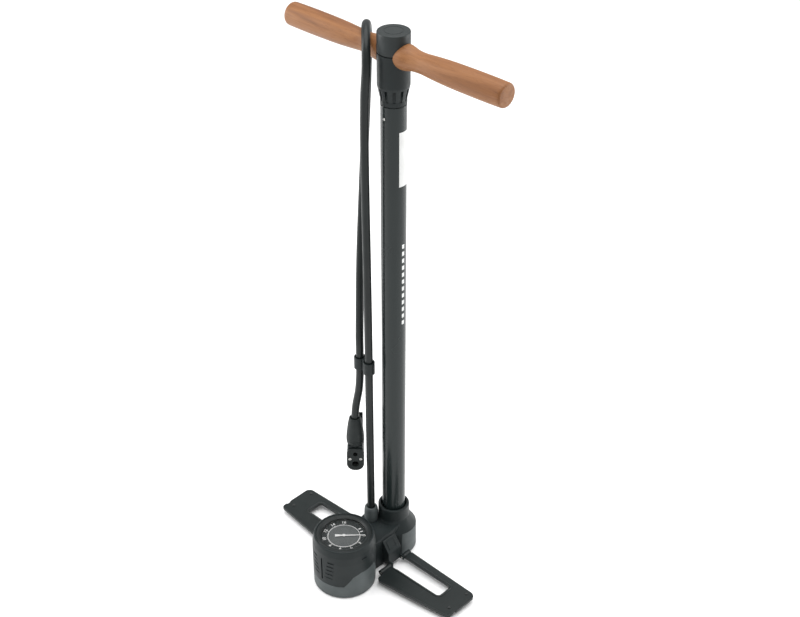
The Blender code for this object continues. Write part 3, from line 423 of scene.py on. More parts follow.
def mesh_object(name, bm):
    """An object from a loose mesh, with its doubled points merged."""
    bmesh.ops.remove_doubles(bm, verts=bm.verts, dist=2e-6)
    bmesh.ops.recalc_face_normals(bm, faces=bm.faces)
    mesh = bpy.data.meshes.new(name)
    bm.to_mesh(mesh)
    bm.free()
    made = bpy.data.objects.new(name, mesh)
    bpy.context.scene.collection.objects.link(made)
    return made


def combine(target, bm, operation):
    """Boolean of target with a closed mesh, applied at once."""
    tool = mesh_object("tool", bm)
    modifier = target.modifiers.new("Shape", "BOOLEAN")
    modifier.operation = operation
    modifier.object = tool
    graph = bpy.context.evaluated_depsgraph_get()
    mesh = bpy.data.meshes.new_from_object(target.evaluated_get(graph))
    target.modifiers.clear()
    bpy.data.objects.remove(tool)
    bm = bmesh.new()
    bm.from_mesh(mesh)
    bmesh.ops.remove_doubles(bm, verts=bm.verts, dist=2e-6)
    bmesh.ops.dissolve_degenerate(bm, dist=2e-6, edges=bm.edges)
    bm.to_mesh(mesh)
    bm.free()
    target.data = mesh
    return target


def cut(target, *tools):
    for tool in tools:
        combine(target, tool, "DIFFERENCE")
    return target


def fuse(target, *tools):
    for tool in tools:
        combine(target, tool, "UNION")
    return target


def merge(*parts):
    """Several loose meshes as one."""
    whole = bmesh.new()
    for part in parts:
        scratch = bpy.data.meshes.new("scratch")
        part.to_mesh(scratch)
        part.free()
        whole.from_mesh(scratch)
        bpy.data.meshes.remove(scratch)
    return whole


def copy_of(made):
    """The object's mesh on its own."""
    bm = bmesh.new()
    bm.from_mesh(made.data)
    return bm


def taken_from(made):
    """The object's mesh on its own; the object goes."""
    bm = copy_of(made)
    bpy.data.objects.remove(made)
    return bm


def keep(made, look, body, slot, *nodes, angle=32):
    """Finishes a piece: smooth shading, its material and body, and the CAD nodes it stands for; slot is not
    used.
    """
    made.data.materials.clear()
    made.data.materials.append(look)
    made.data.shade_smooth()
    made.data.set_sharp_from_angle(angle=radians(angle))
    weighted = made.modifiers.new("Even shading", "WEIGHTED_NORMAL")
    weighted.keep_sharp = True
    if nodes:
        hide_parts(*nodes)
    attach(made, body)
    return made


def piece(name, bm, look, body, slot, *nodes, angle=32):
    return keep(mesh_object(name, bm), look, body, slot, *nodes, angle=angle)


def along_x(z):
    """Turns a shape built along Z to lie along X."""
    return at(0.0, 0.0, z) @ Matrix.Rotation(pi / 2, 4, "Y")


def along_y(x, z):
    """Turns a shape built along Z to lie along Y."""
    return at(x, 0.0, z) @ Matrix.Rotation(-pi / 2, 4, "X")


# ---- base: housing and shroud
GAUGE_AXIS = at(0.0, DIAL.y)
BOSS_AXIS = at(BOSS.x, BOSS.y)
SHELL_BOTTOM = spot("base_housing").low
DRUM_RADIUS, DRUM_TOP = 0.0285, 0.0365
COLLAR_RADIUS, COLLAR_BOTTOM, COLLAR_TOP = 0.0195, 0.0505, 0.068
HOOD_RADIUS, RIM_RADIUS = 0.039, 0.0364
HOOD_TOP = spot("base_shroud").high
WALL_X = 0.0195
LUG_X, LUG_INNER_X = 0.0305, 0.015
LUG_TOP, LUG_BOTTOM = 0.04, 0.006
LUG_FRONT, LUG_REAR = -0.0416, -0.0189
BRIDGE_FRONT, BRIDGE_REAR = -0.07, -0.008
HINGE_X = abs(JOINTS["right_foot_fold"]["pos_m"][0])
HINGE_Z = JOINTS["right_foot_fold"]["pos_m"][2]
PIN_RADIUS = 0.0015
PIN_FRONT, PIN_REAR = -0.07, -0.005    # a cut for the pins runs past both knuckles
WELL_RADIUS, MOUTH_RADIUS = 0.034, 0.0294
SOLE_DEPTH = 0.0031
UNDER, OVER = -0.001, 0.08              # past the base's floor and top, for cuts that run out
# The line where the grey housing meets the dark shroud, seen from the side: (y, z).
SPLIT_LINE = (
    (-0.1400, 0.0195), (-0.1166, 0.0195), (-0.1074, 0.0340), (-0.0980, 0.0380), (-0.0720, 0.0380),
    (-0.0600, 0.0130), (-0.0130, 0.0130), (-0.0115, 0.0365), (0.0400, 0.0365),
)


def base_block():
    """The base as one fine solid, before it is split into its two shells."""
    gauge = rounded(((0.0, SHELL_BOTTOM), (HOOD_RADIUS - 0.0007, SHELL_BOTTOM, 0.001),
                     (HOOD_RADIUS, 0.054, 0.03), (HOOD_RADIUS - 0.0004, 0.065, 0.012),
                     (RIM_RADIUS + 0.0004, HOOD_TOP, 0.0016), (0.0, HOOD_TOP)))
    block = mesh_object("block", lathe(gauge, FINE, GAUGE_AXIS))
    drum = rounded(((0.0, SHELL_BOTTOM), (DRUM_RADIUS, SHELL_BOTTOM, 0.001),
                    (DRUM_RADIUS, DRUM_TOP, 0.0022), (COLLAR_RADIUS, COLLAR_BOTTOM, 0.004),
                    (COLLAR_RADIUS, COLLAR_TOP, 0.0014), (0.0, COLLAR_TOP)))
    bridge = ((BRIDGE_FRONT, SHELL_BOTTOM), (BRIDGE_REAR, SHELL_BOTTOM), (BRIDGE_REAR, 0.048),
              (BRIDGE_FRONT, 0.041))
    fuse(block, prism(bridge, -WALL_X, WALL_X, ACROSS, 0.0012))
    fuse(block, disc(0.0135, SHELL_BOTTOM + 0.0002, 0.044, ROUND, BOSS_AXIS, 0.0012))
    fuse(block, lathe(drum, FINE))
    for side in (1, -1):
        lug = ((side * LUG_INNER_X, LUG_TOP), (side * (WALL_X + 0.001), LUG_TOP), (side * LUG_X, 0.025),
               (side * LUG_X, LUG_BOTTOM), (side * LUG_INNER_X, LUG_BOTTOM))
        fuse(block, prism(lug, LUG_FRONT, LUG_REAR, FROM_SIDE, 0.0009))
        for low in (LUG_FRONT + 0.0001, LUG_REAR - 0.0026):
            x0, x1 = sorted((side * (LUG_X - 0.002), side * (HINGE_X + 0.0027)))
            fuse(block, box(x0, x1, low, low + 0.0025, 0.0062, 0.0123, None, 0.0005))
    return block


def shroud_region(grow):
    """The space that the dark shroud takes, enlarged by grow."""
    outline = [(y, z - grow) for y, z in SPLIT_LINE] + [(0.04, 0.09), (-0.14, 0.09)]
    region = mesh_object("region", prism(outline, -0.06, 0.06, ACROSS))
    for side in (1, -1):
        x0, x1 = sorted((side * (0.0165 - grow), side * 0.06))
        fuse(region, box(x0, x1, -0.0545 - grow, -0.0125 + grow, -0.001, 0.03))
    return taken_from(region)


def hood_recess(angle, depth, half_width, low, high):
    """A box that cuts a recess into the hood's side, at an angle in degrees from +X."""
    return box(HOOD_RADIUS - depth, HOOD_RADIUS + 0.004, -half_width, half_width, low, high,
               GAUGE_AXIS @ about_z(radians(angle)))


def grip_ribs():
    """Recessed bars on the hood's front on both sides of an upright slot, and one at each flank."""
    bars = []
    for side in (-1, 1):
        for step in range(5):
            z = 0.03 + 0.0062 * step
            angle = -90 + side * (15 + 1.2 * step)
            bars.append(hood_recess(angle, 0.0009, 0.0062 - 0.0005 * step, z, z + 0.0024))
    bars.append(hood_recess(-90, 0.0016, 0.0011, 0.0245, 0.058))
    for angle in (-6, 186):
        bars.append(hood_recess(angle, 0.0012, 0.0036, 0.0585, 0.0597))
    return merge(*bars)


def split_shells():
    """The housing and the shroud as two shells, with the holes that run through both."""
    block = base_block()
    housing = mesh_object("housing_shell", copy_of(block))
    shroud = mesh_object("shroud_shell", taken_from(block))
    combine(shroud, shroud_region(0.0), "INTERSECT")
    combine(housing, shroud_region(GAP), "DIFFERENCE")
    for shell in (housing, shroud):
        cut(shell, disc(BARREL.r + GAP, BARREL.low - 0.0038, 0.1, ROUND),
            disc(0.0053, 0.0068, 0.1, SMALL, BOSS_AXIS),
            disc(spot("rear_sole").r + GAP, UNDER, SOLE_DEPTH, FINE),
            disc(spot("front_sole").r + GAP, UNDER, SOLE_DEPTH, FINE, GAUGE_AXIS))
    return housing, shroud


def make_shroud(shroud, look):
    """Opens the shroud for the gauge, the hose fitting and the barrel, and marks its outside."""
    collar_mouth = ((0.0, 0.058), (0.0163, 0.058), (0.0163, 0.0664), (0.0178, OVER), (0.0, OVER))
    cut(shroud, disc(WELL_RADIUS, 0.01, 0.066, FINE, GAUGE_AXIS),
        disc(MOUTH_RADIUS, 0.06, OVER, FINE, GAUGE_AXIS),
        disc(BEZEL.r + GAP, 0.069, OVER, FINE, GAUGE_AXIS),
        disc(BOSS.r + 0.0005, 0.0398, OVER, ROUND, BOSS_AXIS),
        lathe(rounded(collar_mouth), ROUND),
        grip_ribs())
    for side in (1, -1):
        # a plain raised plaque with a sunk panel on the lug's slope, and the bore for the foot's pins
        slope = atan2(LUG_TOP - 0.025, LUG_X - WALL_X - 0.001)
        middle = at(side * 0.02555, (LUG_FRONT + LUG_REAR) / 2, 0.0325)
        turn = middle @ Matrix.Rotation(side * slope, 4, "Y")
        fuse(shroud, box(-0.0058, 0.0058, -0.007, 0.007, -0.001, 0.0006, turn, 0.0003))
        cut(shroud, box(-0.0036, 0.0036, -0.0048, 0.0048, 0.0002, 0.003, turn))
        cut(shroud, disc(PIN_RADIUS + GAP, PIN_FRONT, PIN_REAR, SMALL, along_y(side * HINGE_X, HINGE_Z)))
    keep(shroud, look, "base", "shroud_black", "base_shroud")


def make_housing(housing, look):
    """Hollows the housing's underside, leaving a rib, and sinks its two screw holes."""
    hollow = mesh_object("hollow", tube(0.0125, 0.0325, 0.001, 0.0155, ROUND, GAUGE_AXIS))
    cut(hollow, box(-0.006, 0.006, DIAL.y, -0.04, -0.01, 0.05))
    cut(housing, taken_from(hollow))
    for x in (0.0125, -0.0125):
        cut(housing, disc(0.0033, UNDER, 0.0064, SMALL, at(x, -0.05)))
    keep(housing, look, "base", "housing_grey", "base_housing")


def make_base(looks):
    housing, shroud = split_shells()
    make_shroud(shroud, looks.shroud)
    make_housing(housing, looks.housing)


def make_boss(looks):
    """Egg-shaped hose fitting with a rolled mouth."""
    outline = rounded(((0.0015, BOSS.low), (0.005, BOSS.low), (0.005, 0.0403), (0.007, 0.041, 0.0005),
                       (0.0084, 0.044, 0.003), (BOSS.r, 0.052, 0.02), (0.0086, 0.062, 0.012),
                       (0.0076, BOSS.high, 0.0016), (0.0052, BOSS.high, 0.0007), (0.0052, 0.05),
                       (0.0043, 0.05), (0.0043, 0.0437), (0.0015, 0.0437)))
    piece("hose_fitting", lathe(outline, ROUND, BOSS_AXIS), looks.housing, "base", "housing_grey",
          "hose_boss")


def make_soles(looks):
    """Rubber soles with a ring of tread grooves underneath."""
    for name in ("rear_sole", "front_sole"):
        sole = spot(name)
        axis = at(sole.x, sole.y)
        made = mesh_object(name + "_tread", disc(sole.r, sole.low, sole.high, FINE, axis, 0.0003))
        for share in (0.35, 0.55, 0.75, 0.92):
            cut(made, tube(sole.r * share - 0.0006, sole.r * share + 0.0006, sole.low - 0.001,
                           sole.low + 0.0007, ROUND, axis))
        keep(made, looks.rubber, "base", "sole_rubber", name)


# ---- barrel
GUIDE_PIN_Z = 0.605
PANEL_LOW, PANEL_HIGH = 0.525, 0.59
DASH_LOW, DASH_PITCH, DASH_HEIGHT, DASHES = 0.345, 0.0092, 0.0052, 12


def band(radius, start, stop, low, high, thickness=0.00008, steps=24):
    """A thin patch lying on the barrel, from start to stop round it."""
    angles = [start + (stop - start) * step / steps for step in range(steps + 1)]
    outer = radius + thickness
    inner = radius - thickness
    outline = [(outer * cos(a), outer * sin(a)) for a in angles]
    outline += [(inner * cos(a), inner * sin(a)) for a in reversed(angles)]
    return prism(outline, low, high)


def make_barrel(looks):
    """Painted tube, its guide pin, a plain label panel and a generic upright row of dashes."""
    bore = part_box("piston_cup")[1].x + 0.0004
    wall = rounded(((bore, BARREL.low), (BARREL.r, BARREL.low), (BARREL.r, BARREL.high, 0.0009),
                    (bore, BARREL.high, 0.0003)))
    barrel = mesh_object("painted_barrel", lathe(wall, FINE))
    pin = along_y(0.0, GUIDE_PIN_Z)
    cut(barrel, disc(0.0019, -0.02, 0.0, SMALL, pin))
    keep(barrel, looks.barrel, "base", "barrel_paint", "barrel")
    piece("label_panel", band(BARREL.r, radians(-22), radians(40), PANEL_LOW, PANEL_HIGH), looks.label,
          "base", "needle_white")
    dashes = []
    for step in range(DASHES):
        low = DASH_LOW + DASH_PITCH * step
        dashes.append(band(BARREL.r, radians(-6), radians(8), low, low + DASH_HEIGHT, steps=6))
    piece("label_dashes", merge(*dashes), looks.label, "base", "needle_white")
    head = rounded(((0.0, -0.0152), (0.0016, -0.0152, 0.0005), (0.0016, -0.0102), (0.0, -0.0102)))
    piece("guide_pin_head", lathe(head, SMALL, pin), looks.steel, "base", "steel", "guide_pin")


# ---- plunger, hub and grips
ROD = spot("plunger_rod")
BAR = along_x(spot("handle_bar").low + 0.006)
BAR_BORE = 0.0063
NOTCHES = 12


def make_rod(looks):
    outline = rounded(((0.0, ROD.low), (0.003, ROD.low, 0.0004), (0.003, 0.0583),
                       (ROD.r, 0.0583, 0.0004), (ROD.r, ROD.high, 0.0004), (0.0038, ROD.high),
                       (0.0038, 0.07), (0.0, 0.069)))
    piece("polished_rod", lathe(outline, ROUND), looks.steel, "plunger", "steel", "plunger_rod")


def make_hub(looks):
    """Hub with a ring of upright notches near its foot, bored for the rod and the handle's bar."""
    bore = ROD.r + GAP
    hub = mesh_object("grip_hub", lathe(rounded((
        (bore, HUB.low), (0.0145, HUB.low, 0.0006), (0.0145, 0.6256, 0.003), (HUB.r, 0.641, 0.006),
        (HUB.r, HUB.high, 0.0006), (bore, HUB.high))), FINE))
    notches = []
    for step in range(NOTCHES):
        turn = about_z(2 * pi * (step + 0.5) / NOTCHES)
        notches.append(box(0.0138, 0.03, -0.0016, 0.0016, 0.6245, 0.6385, turn))
    cut(hub, merge(*notches), disc(BAR_BORE, -0.03, 0.03, SMALL, BAR))
    keep(hub, looks.hub, "plunger", "hub_black", "handle_hub")


def make_cap(looks):
    cap = mesh_object("hub_cap", lathe(rounded((
        (0.0, 0.6885), (0.0062, 0.6885), (0.0062, CAP.low), (CAP.r, CAP.low, 0.0005),
        (CAP.r, CAP.high, 0.0014), (0.0, CAP.high))), FINE))
    cut(cap, disc(BAR_BORE, -0.03, 0.03, SMALL, BAR),
        tube(0.0098, 0.0104, CAP.high - 0.0003, 0.71, ROUND))
    keep(cap, looks.cap, "plunger", "hub_black", "handle_cap")


def smooth_line(points, steps):
    """Points on a smooth curve through the given ones, steps for each stretch."""
    knots = [Vector(point) for point in points]
    knots = [2 * knots[0] - knots[1]] + knots + [2 * knots[-1] - knots[-2]]
    line = []
    for before, start, stop, after in zip(knots, knots[1:], knots[2:], knots[3:]):
        for step in range(steps):
            t = step / steps
            line.append(0.5 * (2 * start + (stop - before) * t
                               + (2 * before - 5 * start + 4 * stop - after) * t ** 2
                               + (3 * start - before - 3 * stop + after) * t ** 3))
    line.append(knots[-2])
    return line


def make_grip(looks, side, name):
    """Turned wooden half with a waist beside the hub and a rounded end."""
    swell = ((0.01, 0.0139), (0.0186, 0.0139), (0.0235, 0.0131), (0.029, 0.0118), (0.035, 0.0112),
             (0.042, 0.011), (0.05, 0.0115), (0.06, 0.0122), (0.072, 0.0128), (0.085, 0.0132),
             (0.1, 0.0134), (0.118, 0.0135), (0.135, 0.0134), (0.147, 0.0132))
    end = cad_high.x
    side_line = [(point.y, point.x) for point in smooth_line([Vector(p) for p in swell], 4)]
    nose = rounded(((0.0132, 0.148), (0.0129, end - 0.0004, 0.0024), (0.0, end)), 8)
    outline = [(BAR_BORE, 0.01)] + side_line + nose + [(0.0, 0.111), (BAR_BORE, 0.1105)]
    turn = BAR if side > 0 else about_z(pi) @ BAR
    made = mesh_object(name + "_wood", lathe(outline, FINE, turn))
    cut(made, disc(HUB.r + GAP, 0.6, 0.75, FINE))
    keep(made, looks.wood, "plunger", "wood", name, angle=40)


# ---- gauge
ZERO = radians(45)              # where the dial's zero lies, from +X
SWEEP = radians(270)
FULL_SCALE = 16
NUMERAL_SIZE, NUMERAL_RADIUS = 0.0058, 0.0243
TRACK_RADIUS = 0.0199


def dial_angle(value):
    return ZERO - SWEEP * value / FULL_SCALE


def numeral(text, size, place):
    """A number as a flat mesh that faces up."""
    curve = bpy.data.curves.new("numeral", "FONT")
    curve.body = text
    curve.size = size
    curve.align_x = "CENTER"
    curve.align_y = "CENTER"
    curve.extrude = 0.00004
    curve.resolution_u = 3
    curve.offset = 0.00012
    made = bpy.data.objects.new("numeral", curve)
    bpy.context.scene.collection.objects.link(made)
    graph = bpy.context.evaluated_depsgraph_get()
    mesh = bpy.data.meshes.new_from_object(made.evaluated_get(graph))
    bpy.data.objects.remove(made)
    bm = bmesh.new()
    bm.from_mesh(mesh)
    bmesh.ops.transform(bm, matrix=place, verts=bm.verts)
    return bm


def make_dial(looks):
    """Dial face with its grey ring, its scale and generic numbers."""
    plate = rounded(((0.0013, DIAL.low), (DIAL.r, DIAL.low), (DIAL.r, DIAL.high, 0.0001),
                     (0.0013, DIAL.high)))
    piece("dial_plate", lathe(plate, FINE, GAUGE_AXIS), looks.dial, "base", "dial_black", "gauge_dial")
    top = DIAL.high + 0.00005
    ink = (top - 0.0001, top + 0.00003)
    piece("dial_inner", tube(0.0025, 0.0188, top - 0.0001, top, FINE, GAUGE_AXIS), looks.dial_ring,
          "base", "dial_black")
    piece("dial_track", tube(0.0192, TRACK_RADIUS, *ink, FINE, GAUGE_AXIS), looks.white, "base",
          "needle_white")
    marks = []
    for step in range(4 * FULL_SCALE + 1):
        value = step / 4
        long_mark = step % 8 == 0
        reach = 0.0216 if long_mark else 0.021
        width = 0.00028 if long_mark else 0.00012
        turn = GAUGE_AXIS @ about_z(dial_angle(value))
        marks.append(box(TRACK_RADIUS, reach, -width, width, *ink, turn))
    for value in range(0, FULL_SCALE + 1, 2):
        angle = dial_angle(value)
        place = GAUGE_AXIS @ at(NUMERAL_RADIUS * cos(angle), NUMERAL_RADIUS * sin(angle), top)
        marks.append(numeral(str(value), NUMERAL_SIZE, place @ about_z(angle - pi / 2)))
    # two plain blocks in the gap before the scale's zero
    for value in (-1.1, -1.9):
        turn = GAUGE_AXIS @ about_z(dial_angle(value))
        marks.append(box(0.0212, 0.0246, -0.0008, 0.0008, *ink, turn))
    piece("dial_print", merge(*marks), looks.white, "base", "needle_white")


def make_needle(looks):
    """Tapered pointer with a flared tail and a round boss."""
    shape = ((0.0262, 0.0004), (0.002, 0.001), (-0.003, 0.0011), (-0.0105, 0.0021), (-0.011, 0.0018),
             (-0.011, -0.0018), (-0.0105, -0.0021), (-0.003, -0.0011), (0.002, -0.001),
             (0.0262, -0.0004))
    pointer = mesh_object("needle", prism(shape, 0.0695, 0.0699, GAUGE_AXIS @ about_z(ZERO), 0.00008))
    fuse(pointer, disc(0.0021, 0.0694, spot("gauge_needle").high, SMALL, GAUGE_AXIS, 0.0002))
    keep(pointer, looks.white, "needle", "needle_white", "gauge_needle")


def make_lens_and_bezel(looks):
    lens = spot("gauge_lens")
    piece("lens", disc(lens.r, lens.low, lens.high, FINE, GAUGE_AXIS, 0.0001), looks.lens, "base", "lens",
          "gauge_lens")
    ring = rounded(((0.0273, 0.0719, 0.0002), (0.0303, 0.0719), (0.0303, BEZEL.low), (BEZEL.r, BEZEL.low),
                    (BEZEL.r, 0.0736, 0.0003), (0.0336, BEZEL.high, 0.0005), (0.0312, BEZEL.high, 0.0006),
                    (0.03, 0.0738, 0.0008)))
    piece("bezel_ring", lathe(ring, FINE, GAUGE_AXIS), looks.bezel, "base", "shroud_black", "gauge_bezel")


# ---- feet
PLATE_TOP, PLATE_BOTTOM = 0.0098, 0.0065


def foot_outline():
    """The plate from above, open round the slot towards the hinge."""
    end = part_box("right_foot")[1].x
    outer = ((0.0385, -0.069), (0.0425, -0.0716, 0.0006), (end, -0.0594, 0.0055), (end, -0.051, 0.0005),
             (end - 0.0016, -0.05, 0.0005), (end - 0.0016, -0.0455, 0.0005), (end, -0.0445, 0.0005),
             (end, -0.0087, 0.008), (0.0372, -0.0058, 0.0012), (0.0372, -0.0186),
             (0.114, -0.0192, 0.005), (0.114, -0.0416, 0.005), (0.0372, -0.0422), (0.0372, -0.062))
    return rounded(outer, 8)


def rail_rim(side):
    """The pressed rim along the slot's edges: a half-round bead on the plate's top."""
    line = rounded(((0.045, -0.0434), (0.116, -0.0429, 0.0062), (0.116, -0.0179, 0.0062),
                    (0.045, -0.0174)), 8)
    path = [Vector((side * x, y, PLATE_TOP - 0.0001)) for x, y in line]
    return sweep(path, 0.0016, 16, (1.0, 0.72))


def outer_lip(side):
    """A lower bead inside the plate's outer edge."""
    line = rounded(((0.044, -0.0704), (0.1452, -0.0584, 0.0046), (0.1452, -0.0512)), 8)
    path = [Vector((side * x, y, PLATE_TOP - 0.0001)) for x, y in line]
    return sweep(path, 0.0009, 12, (1.0, 0.6))


def sweep(path, radius, sides, squash=(1.0, 1.0)):
    """Closed tube along a line of points; squash flattens its section."""
    bm = bmesh.new()
    rings = []
    side_way = None
    for index, point in enumerate(path):
        ahead = (path[min(index + 1, len(path) - 1)] - path[max(index - 1, 0)]).normalized()
        if side_way is None:
            side_way = ahead.orthogonal().normalized()
            if abs(ahead.z) < 0.5:
                side_way = ahead.cross(Vector((0, 0, 1))).normalized()
        side_way = (side_way - ahead * side_way.dot(ahead)).normalized()
        up_way = side_way.cross(ahead)
        rings.append([bm.verts.new(point + side_way * radius * squash[0] * cos(a)
                                   + up_way * radius * squash[1] * sin(a))
                      for a in (2 * pi * corner / sides for corner in range(sides))])
    for first, second in zip(rings, rings[1:]):
        for corner in range(sides):
            after = (corner + 1) % sides
            bm.faces.new((first[corner], first[after], second[after], second[corner]))
    bm.faces.new(rings[0])
    bm.faces.new(rings[-1])
    return bm


def knuckle(side, top, bottom):
    """Side view (x, z) of a hinge knuckle: a round eye with a flat arm into the plate."""
    radius = 0.0033
    over = top - HINGE_Z - 0.0001
    under = bottom - HINGE_Z + 0.0001
    first = asin(over / radius)
    swing = 2 * pi + asin(under / radius) - first
    outline = [(0.0068, under), (0.0068, over)]
    outline += [(radius * cos(first + swing * step / SMALL), radius * sin(first + swing * step / SMALL))
                for step in range(SMALL + 1)]
    return [(side * (HINGE_X + x), HINGE_Z + z) for x, z in outline]


def make_foot(looks, side, name):
    """Slotted steel foot with rolled knuckles, its pins and its two rubber pads."""
    mirror = Matrix.Diagonal((side, 1, 1, 1))
    plate = mesh_object(name + "_plate", prism(foot_outline(), PLATE_BOTTOM, PLATE_TOP, mirror, 0.0004))
    pin = along_y(side * HINGE_X, HINGE_Z)
    for low, high in ((-0.06, -0.0424), (-0.0184, -0.0068)):
        fuse(plate, prism(knuckle(side, PLATE_TOP, PLATE_BOTTOM), low, high, FROM_SIDE))
    fuse(plate, rail_rim(side))
    fuse(plate, outer_lip(side))
    cut(plate, disc(PIN_RADIUS + GAP, PIN_FRONT, PIN_REAR, SMALL, pin))
    for place in ("front", "rear"):
        pad = spot(f"{name}_pad_{place}")
        cut(plate, disc(0.0017, 0.0, 0.02, SMALL, at(pad.x, pad.y)))
    keep(plate, looks.foot, name, "foot_paint", name)
    for place in ("front", "rear"):
        pad = spot(f"{name}_pad_{place}")
        under = PLATE_BOTTOM - GAP
        over = PLATE_TOP + GAP
        stem = rounded(((0.0, pad.low), (pad.r, pad.low, 0.0006), (pad.r, under, 0.0005), (0.0014, under),
                        (0.0014, over), (0.0021, over, 0.0003), (0.0016, over + 0.0006, 0.0003),
                        (0.0, pad.high)))
        piece(f"{name}_{place}_rubber", lathe(stem, SMALL, at(pad.x, pad.y)), looks.rubber, name,
              "sole_rubber", f"{name}_pad_{place}")
        node = f"{name}_pin_{place}"
        low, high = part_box(node)
        piece(node + "_steel", disc(PIN_RADIUS, low.y, high.y, SMALL, pin, 0.0003), looks.steel, "base",
              "steel", node)


# ---- hose and clip
HOSE_DIAMETER = 0.0095
CLIP_RIGHT, CLIP_LEFT = (-0.0174, -0.024), (-0.0332, -0.0231)
HOSE_ROUTE = (
    (-0.0170, -0.0234, 0.0503), (-0.0170, -0.0234, 0.0650), (-0.0170, -0.0235, 0.0950),
    (-0.0172, -0.0238, 0.1800), (*CLIP_RIGHT, 0.2500), (*CLIP_RIGHT, 0.2805),
    (-0.0175, -0.0241, 0.3150), (-0.0179, -0.0246, 0.4100), (-0.0182, -0.0256, 0.5100),
    (-0.0174, -0.0268, 0.5800), (-0.0155, -0.0276, 0.6300), (-0.0139, -0.0268, 0.6600),
    (-0.0185, -0.0217, 0.6789), (-0.0286, -0.0115, 0.6904), (-0.0387, -0.0010, 0.6934),
    (-0.0484, 0.0100, 0.6903), (-0.0581, 0.0212, 0.6789), (-0.0626, 0.0260, 0.6600),
    (-0.0628, 0.0252, 0.6300), (-0.0612, 0.0205, 0.5800), (-0.0570, 0.0110, 0.5100),
    (-0.0470, -0.0060, 0.4100), (-0.0360, -0.0200, 0.3250), (-0.0333, -0.0229, 0.3000),
    (*CLIP_LEFT, 0.2805), (-0.0333, -0.0233, 0.2610), (-0.0341, -0.0246, 0.2400),
    (-0.0363, -0.0282, 0.2150), (-0.0369, -0.0294, 0.1930), (-0.0369, -0.0294, 0.1853),
)


def make_hose(looks):
    """One rubber hose along its route."""
    path = smooth_line(HOSE_ROUTE, 12)
    hose = mesh_object("rubber_hose", sweep(path, HOSE_DIAMETER / 2, 28))
    hose.data.materials.append(looks.hose)
    hose.data.shade_smooth()
    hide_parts("hose")
    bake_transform(hose)
    return hose, path


def clip_ring(place):
    return tube(0.0054, 0.007, CLIP.low, CLIP.high, ROUND, at(*place), 0.0004)


def make_clip(looks):
    """Double clip that holds the hose's two runs side by side, with a slotted thumb tab."""
    middle = (CLIP.low + CLIP.high) / 2
    left, right, tab = CLIP_LEFT[0] + 0.006, CLIP_RIGHT[0] - 0.006, CLIP_RIGHT[0] + 0.006
    clip = mesh_object("double_clip", clip_ring(CLIP_RIGHT))
    fuse(clip, box(left, right, -0.0262, -0.0208, CLIP.low + 0.0003, CLIP.high - 0.0003, None, 0.0005),
         clip_ring(CLIP_LEFT),
         box(tab, tab + 0.0028, -0.0252, -0.0228, CLIP.low + 0.002, CLIP.high - 0.001, None, 0.0006))
    cut(clip, box(tab, tab + 0.006, -0.0243, -0.0237, middle - 0.003, middle + 0.003))
    return keep(clip, looks.shroud, "plunger", "shroud_black", "hose_clip")


# ---- chuck
PIVOT = Vector(JOINTS["chuck_lever_turn"]["pos_m"])
CHUCK = at(-0.0369, -0.0294) @ about_z(radians(43.37))
CHUCK_FACE, CHUCK_BACK = -0.012, 0.008
FACE_BACK = CHUCK_FACE + 0.0024
SLEEVE_BOTTOM, HEAD_BOTTOM = 0.162, 0.1256
PRESTA_Z, SCHRADER_Z = 0.1507, 0.1358
SCREW_X, SCREW_Z = 0.0066, 0.1433
LEVER_Y, LEVER_TOP = 0.0118, 0.196
LEVER_AXIS = CHUCK @ at(0.0, LEVER_Y, PIVOT.z) @ Matrix.Rotation(pi / 2, 4, "Y")


def facing(x, z):
    """Turns a shape built along Z to lie along the chuck's own Y at this place."""
    return CHUCK @ at(x, 0.0, z) @ Matrix.Rotation(-pi / 2, 4, "X")


def screw_holes(depth):
    return [disc(0.0012, -0.03, depth, SMALL, facing(x, SCREW_Z)) for x in (-SCREW_X, SCREW_X)]


def lever_hole():
    return disc(0.0013, -0.004, 0.014, SMALL, LEVER_AXIS)


def make_head(looks):
    """Body with two valve ports, screw holes, the lever's ears and three grooves in front."""
    outline = rounded(((-0.0092, SLEEVE_BOTTOM - GAP), (-0.0092, 0.158, 0.006),
                       (-0.0105, 0.15, 0.008), (-0.0107, HEAD_BOTTOM, 0.0098),
                       (0.0107, HEAD_BOTTOM, 0.0098), (0.0105, 0.15, 0.008), (0.0092, 0.158, 0.006),
                       (0.0092, SLEEVE_BOTTOM - GAP)), 10)
    head = mesh_object("head_body", prism(outline, FACE_BACK + GAP, CHUCK_BACK, CHUCK @ FROM_SIDE, 0.0009))
    fuse(head, disc(0.007, 0.15, 0.183, ROUND, CHUCK, 0.0004))
    for radius, z in ((0.0037, PRESTA_Z), (0.0052, SCHRADER_Z)):
        cut(head, disc(radius, -0.03, 0.004, SMALL, facing(0.0, z)))
    cut(head, disc(0.0016, 0.13, 0.2, SMALL, CHUCK), *screw_holes(-0.0035))
    low, high = PIVOT.z - 0.004, PIVOT.z + 0.004
    inner, outer = CHUCK_BACK - 0.002, LEVER_Y + 0.003
    ear = rounded(((inner, low), (outer, low, 0.0028), (outer, high, 0.0028), (inner, high)))
    for x0, x1 in ((-0.003, -0.0003), (0.0097, 0.0104)):
        fuse(head, prism(ear, x0, x1, CHUCK @ ACROSS))
    cut(head, lever_hole())
    for step in range(3):
        z = 0.1566 + 0.0016 * step
        cut(head, box(-0.0046, 0.0046, FACE_BACK - 0.001, FACE_BACK + GAP + 0.0006, z, z + 0.0007, CHUCK))
    return keep(head, looks.shroud, "plunger", "shroud_black", "chuck_head")


